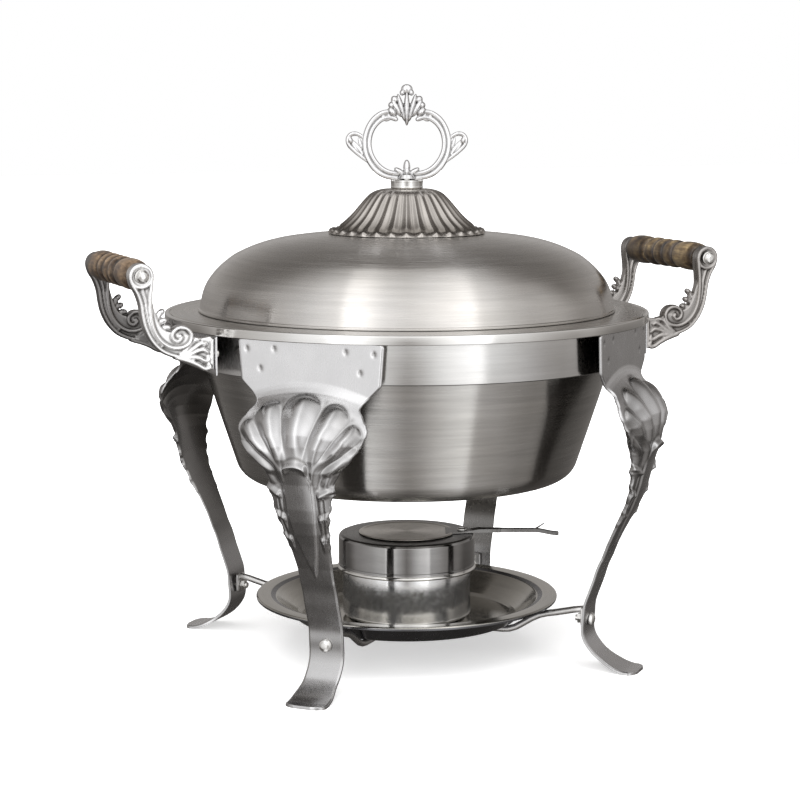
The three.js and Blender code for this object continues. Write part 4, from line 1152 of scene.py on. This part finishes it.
av, af = arm_mesh()
av[:, 2] -= 2.4 * sstep(96, 113, av[:, 0])
arm = make("damper_arm", av, af, "damper", None, M_ARM, attrs={"arc": av[:, 0] * MM})
arm.rotation_euler = (0, 0, TURN)
tabv, tabf = [], []
for i, (x, z) in enumerate(catmull([(92.4, 89.9), (95.2, 90.6), (98.6, 92.4), (102.9, 95.2)], 5)):
    for (yy, dz) in ((-1.9, 0), (-1.5, 0.7), (1.5, 0.7), (1.9, 0), (1.5, -0.35), (-1.5, -0.35)):
        k = 1 - 0.35 * i / 15
        tabv.append(np.array([x, yy * k, z + dz * k]))
nt_ = len(tabv) // 6
for i in range(nt_ - 1):
    for j in range(6):
        j2 = (j + 1) % 6
        tabf.append([i * 6 + j, i * 6 + j2, (i + 1) * 6 + j2, (i + 1) * 6 + j])
tabf.append([5, 4, 3, 2, 1, 0])
tabf.append([(nt_ - 1) * 6 + j for j in range(6)])
tabv = np.array(tabv) - np.array([0, 0, 0.4])
thumb = make("damper_thumb_tab", tabv, tabf, "damper", None, M_ARM)
thumb.rotation_euler = (0, 0, TURN)
rv, rf, _ = lathe_mesh([(0, 85)] + rounded([(3, 85), (3, 86.6), (2.1, 86.6), (2.1, 89.95), (3.6, 89.95), (3.4, 90.9), (2.2, 91.5), (0, 91.6)], 0.35, 4), 36)
rv = np.array(rv) + np.array([41.5, 0, 0])
riv = make("damper_rivet_head", rv, rf, "fuel_cover", "damper_rivet", M_SCREW)
riv.rotation_euler = (0, 0, TURN)

# hidden hardware keeps its own solids, with finished metal
for n, o in NODES.items():
    if n.startswith(("leg_nut", "bracket_rivet", "grip_rod")) or n in ("lid_handle_screw", "lid_handle_washer"):
        for s in o.material_slots:
            s.material = M_SCREW
        if not o.material_slots:
            o.data.materials.append(M_SCREW)

# ------------------------------------------------------------------ floor, light, camera
fl = bpy.data.meshes.new("floor")
fl.from_pydata([(-9, -9, 0), (9, -9, 0), (9, 9, 0), (-9, 9, 0)], [], [(0, 1, 2, 3)])
floor = bpy.data.objects.new("floor", fl)
scene.collection.objects.link(floor)
m, nt, p = start("pale_floor")
tc = nd(nt, "TexCoord")
fr = ramp(nt, [(0.3, (0.86, 0.86, 0.86)), (0.7, (0.9, 0.9, 0.9))])
nt.links.new(noise_at(nt, tc.outputs["Object"], 3, 3, 0.5), fr.inputs["Fac"])
nt.links.new(fr.outputs["Color"], p.inputs["Base Color"])
p.inputs["Roughness"].default_value = 0.9
p.inputs["Specular IOR Level"].default_value = 0.1
# The floor glows: emission rises from 0.5 near the object to 1.1 far off, painted light that keeps the far floor
# white.
p.inputs["Emission Color"].default_value = (1, 1, 1, 1)
far = nd(nt, "VectorMath", operation="LENGTH")
nt.links.new(tc.outputs["Object"], far.inputs[0])
nt.links.new(span(nt, far.outputs["Value"], 0.5, 1.1, 0.28, 0.75), p.inputs["Emission Strength"])
fl.materials.append(m)
floor.visible_glossy = False
floor.visible_diffuse = False

VIEW_AZ = math.radians(-112.23)  # where the front of the lighting stands
world = bpy.data.worlds.new("studio")
scene.world = world
world.use_nodes = True
wt = world.node_tree
wt.nodes.clear()
WL = wt.links.new
wout = wt.nodes.new("ShaderNodeOutputWorld")
bg = wt.nodes.new("ShaderNodeBackground")
WL(bg.outputs[0], wout.inputs["Surface"])
wtc = nd(wt, "TexCoord")
B = (math.cos(VIEW_AZ), math.sin(VIEW_AZ), 0.0)
Rr = (-math.sin(VIEW_AZ), math.cos(VIEW_AZ), 0.0)


def dot(vec, const):
    n = nd(wt, "VectorMath", operation="DOT_PRODUCT")
    n.inputs[1].default_value = const
    WL(vec, n.inputs[0])
    return n.outputs["Value"]


def math2(op, a, b=None, bconst=None):
    n = nd(wt, "Math", operation=op)
    WL(a, n.inputs[0])
    if b is not None:
        WL(b, n.inputs[1])
    elif bconst is not None:
        n.inputs[1].default_value = bconst
    return n.outputs[0]


direction = wtc.outputs["Generated"]
back = dot(direction, B)
side = dot(direction, Rr)
hb = math2("ADD", back, bconst=0.985)
th = math2("ARCTAN2", side, hb)
t01 = math2("MULTIPLY_ADD", th, bconst=1 / math.pi)
t01.node.inputs[2].default_value = 0.5
# Softboxes across the front: two bright edges with a dimmer middle, then light falling away to the sides.
HIGH = [(-90, 0.5), (-60, 0.6), (-53, 0.65), (-44, 0.6), (-37, 0.66), (-30, 0.82), (-24, 1.1), (-18.2, 1.28), (-17.4, 2.0), (-12, 1.9), (-6, 1.27), (0, 1.14), (5, 1.29), (11, 1.55), (16.6, 1.87), (18.9, 1.95), (19.9, 1.3), (22.6, 1.2), (29, 0.85), (35.5, 0.66), (43, 0.66), (51, 0.6), (61, 0.55), (90, 0.45)]
LOW = [(-90, 0.45), (-60, 0.5), (-44, 0.55), (-30, 0.8), (-24, 1.05), (-18.2, 1.15), (-17.4, 1.9), (-12, 1.6), (-7, 1.0), (-4, 0.75), (0, 0.4), (3.8, 0.66), (7.7, 1.07), (11.6, 1.43), (15.6, 1.58), (19, 1.85), (20.2, 0.92), (23.9, 0.87), (28.2, 0.75), (32.7, 0.56), (37.5, 0.44), (43, 0.38), (48, 0.45), (54, 0.45), (61, 0.4), (90, 0.35)]
DEEP = [(-90, 0.15), (-30, 0.22), (-19, 0.28), (-17.4, 1.0), (-12, 1.6), (-7, 1.15), (-3, 0.82), (0, 0.62), (3.8, 0.76), (7.7, 1.08), (11.6, 1.4), (15.6, 1.65), (19, 1.8), (20.2, 0.82), (24, 0.7), (28.2, 0.6), (32.7, 0.48), (38, 0.38), (43, 0.4), (50, 0.2), (61, 0.16), (90, 0.12)]
sr_deep = ramp(wt, [((d / 180) + 0.5, v / 2) for d, v in DEEP])
WL(t01, sr_deep.inputs["Fac"])
sr_hi = ramp(wt, [((d / 180) + 0.5, v / 2) for d, v in HIGH])
sr_lo = ramp(wt, [((d / 180) + 0.5, v / 2) for d, v in LOW])
WL(t01, sr_hi.inputs["Fac"])
WL(t01, sr_lo.inputs["Fac"])
sep = nd(wt, "SeparateXYZ")
WL(direction, sep.inputs[0])
z01 = math2("MULTIPLY_ADD", sep.outputs["Z"], bconst=0.5)
z01.node.inputs[2].default_value = 0.5


def world_mix(fac, a, b):
    n = nd(wt, "Mix", data_type="FLOAT")
    WL(fac, n.inputs["Factor"])
    WL(a, n.inputs["A"])
    WL(b, n.inputs["B"])
    return n.outputs["Result"]


hilo = ramp(wt, [(0.42, 0.0), (0.56, 1.0)], "EASE")
WL(z01, hilo.inputs["Fac"])
deepz = ramp(wt, [(0.22, 0.0), (0.36, 1.0)], "EASE")
WL(z01, deepz.inputs["Fac"])
low = world_mix(deepz.outputs["Color"], sr_deep.outputs["Color"], sr_lo.outputs["Color"])
front = world_mix(hilo.outputs["Color"], low, sr_hi.outputs["Color"])
zr = ramp(wt, [(0.0, 0.18), (0.05, 0.22), (0.155, 0.62), (0.35, 0.9), (0.43, 1.0), (0.75, 1.0), (0.95, 0.85), (1.0, 0.8)])
WL(z01, zr.inputs["Fac"])
front = math2("MULTIPLY", front, zr.outputs["Color"])
# The room behind the object, seen by surfaces turned away from the softboxes.
room = ramp(wt, [(0.0, 0.02), (0.3, 0.045), (0.42, 0.1), (0.57, 0.225), (0.68, 0.165), (0.8, 0.1), (0.9, 0.075), (1.0, 0.1)])
WL(z01, room.inputs["Fac"])
b01 = math2("MULTIPLY_ADD", back, bconst=0.5)
b01.node.inputs[2].default_value = 0.5
br = ramp(wt, [(0.275, 0.0), (0.5, 1.0)], "EASE")
WL(b01, br.inputs["Fac"])
val = world_mix(br.outputs["Color"], room.outputs["Color"], front)
val = math2("MULTIPLY", val, bconst=2.0)
tint = ramp(wt, [(0.0, (1.0, 0.93, 0.87)), (0.5, (1.0, 0.97, 0.95)), (0.9, (1.0, 1.0, 1.0))])
WL(val, tint.inputs["Fac"])
lp = nd(wt, "LightPath")
cmix = nd(wt, "Mix", data_type="RGBA", blend_type="MIX")
WL(lp.outputs["Is Camera Ray"], cmix.inputs["Factor"])
WL(tint.outputs["Color"], cmix.inputs["A"])
cmix.inputs["B"].default_value = (1, 1, 1, 1)
vmix = nd(wt, "Mix", data_type="FLOAT")
WL(lp.outputs["Is Camera Ray"], vmix.inputs["Factor"])
WL(val, vmix.inputs["A"])
vmix.inputs["B"].default_value = 1.0
WL(cmix.outputs["Result"], bg.inputs["Color"])
WL(vmix.outputs["Result"], bg.inputs["Strength"])


def area(name, loc, target, size, power, glossy=False):
    li = bpy.data.lights.new(name, "AREA")
    li.shape = "RECTANGLE"
    li.size, li.size_y = size
    li.energy = power
    ob = bpy.data.objects.new(name, li)
    scene.collection.objects.link(ob)
    ob.location = loc
    ob.rotation_euler = (Vector(target) - Vector(loc)).to_track_quat("-Z", "Y").to_euler()
    ob.visible_glossy = glossy
    ob.visible_camera = False
    return ob


area("overhead_softbox", (-0.2, -0.5, 2.4), (0, 0, 0.1), (3.0, 3.0), 60)
area("front_softbox", (-1.6, -2.2, 1.5), (0, 0, 0.25), (1.2, 1.2), 22)

cam_data = bpy.data.cameras.new("camera")
cam = bpy.data.objects.new("camera", cam_data)
scene.collection.objects.link(cam)
cam.location = (-0.6076, -1.4867, 0.4168)
cam.rotation_euler = Vector((0.3717, 0.9176, -0.1409)).to_track_quat("-Z", "Y").to_euler()
cam_data.lens = 98.15
cam_data.sensor_width = 36.0
cam_data.clip_start = 0.05
cam_data.clip_end = 60
scene.camera = cam
scene.view_settings.view_transform = "Standard"
scene.view_settings.look = "None"

bpy.context.view_layer.update()
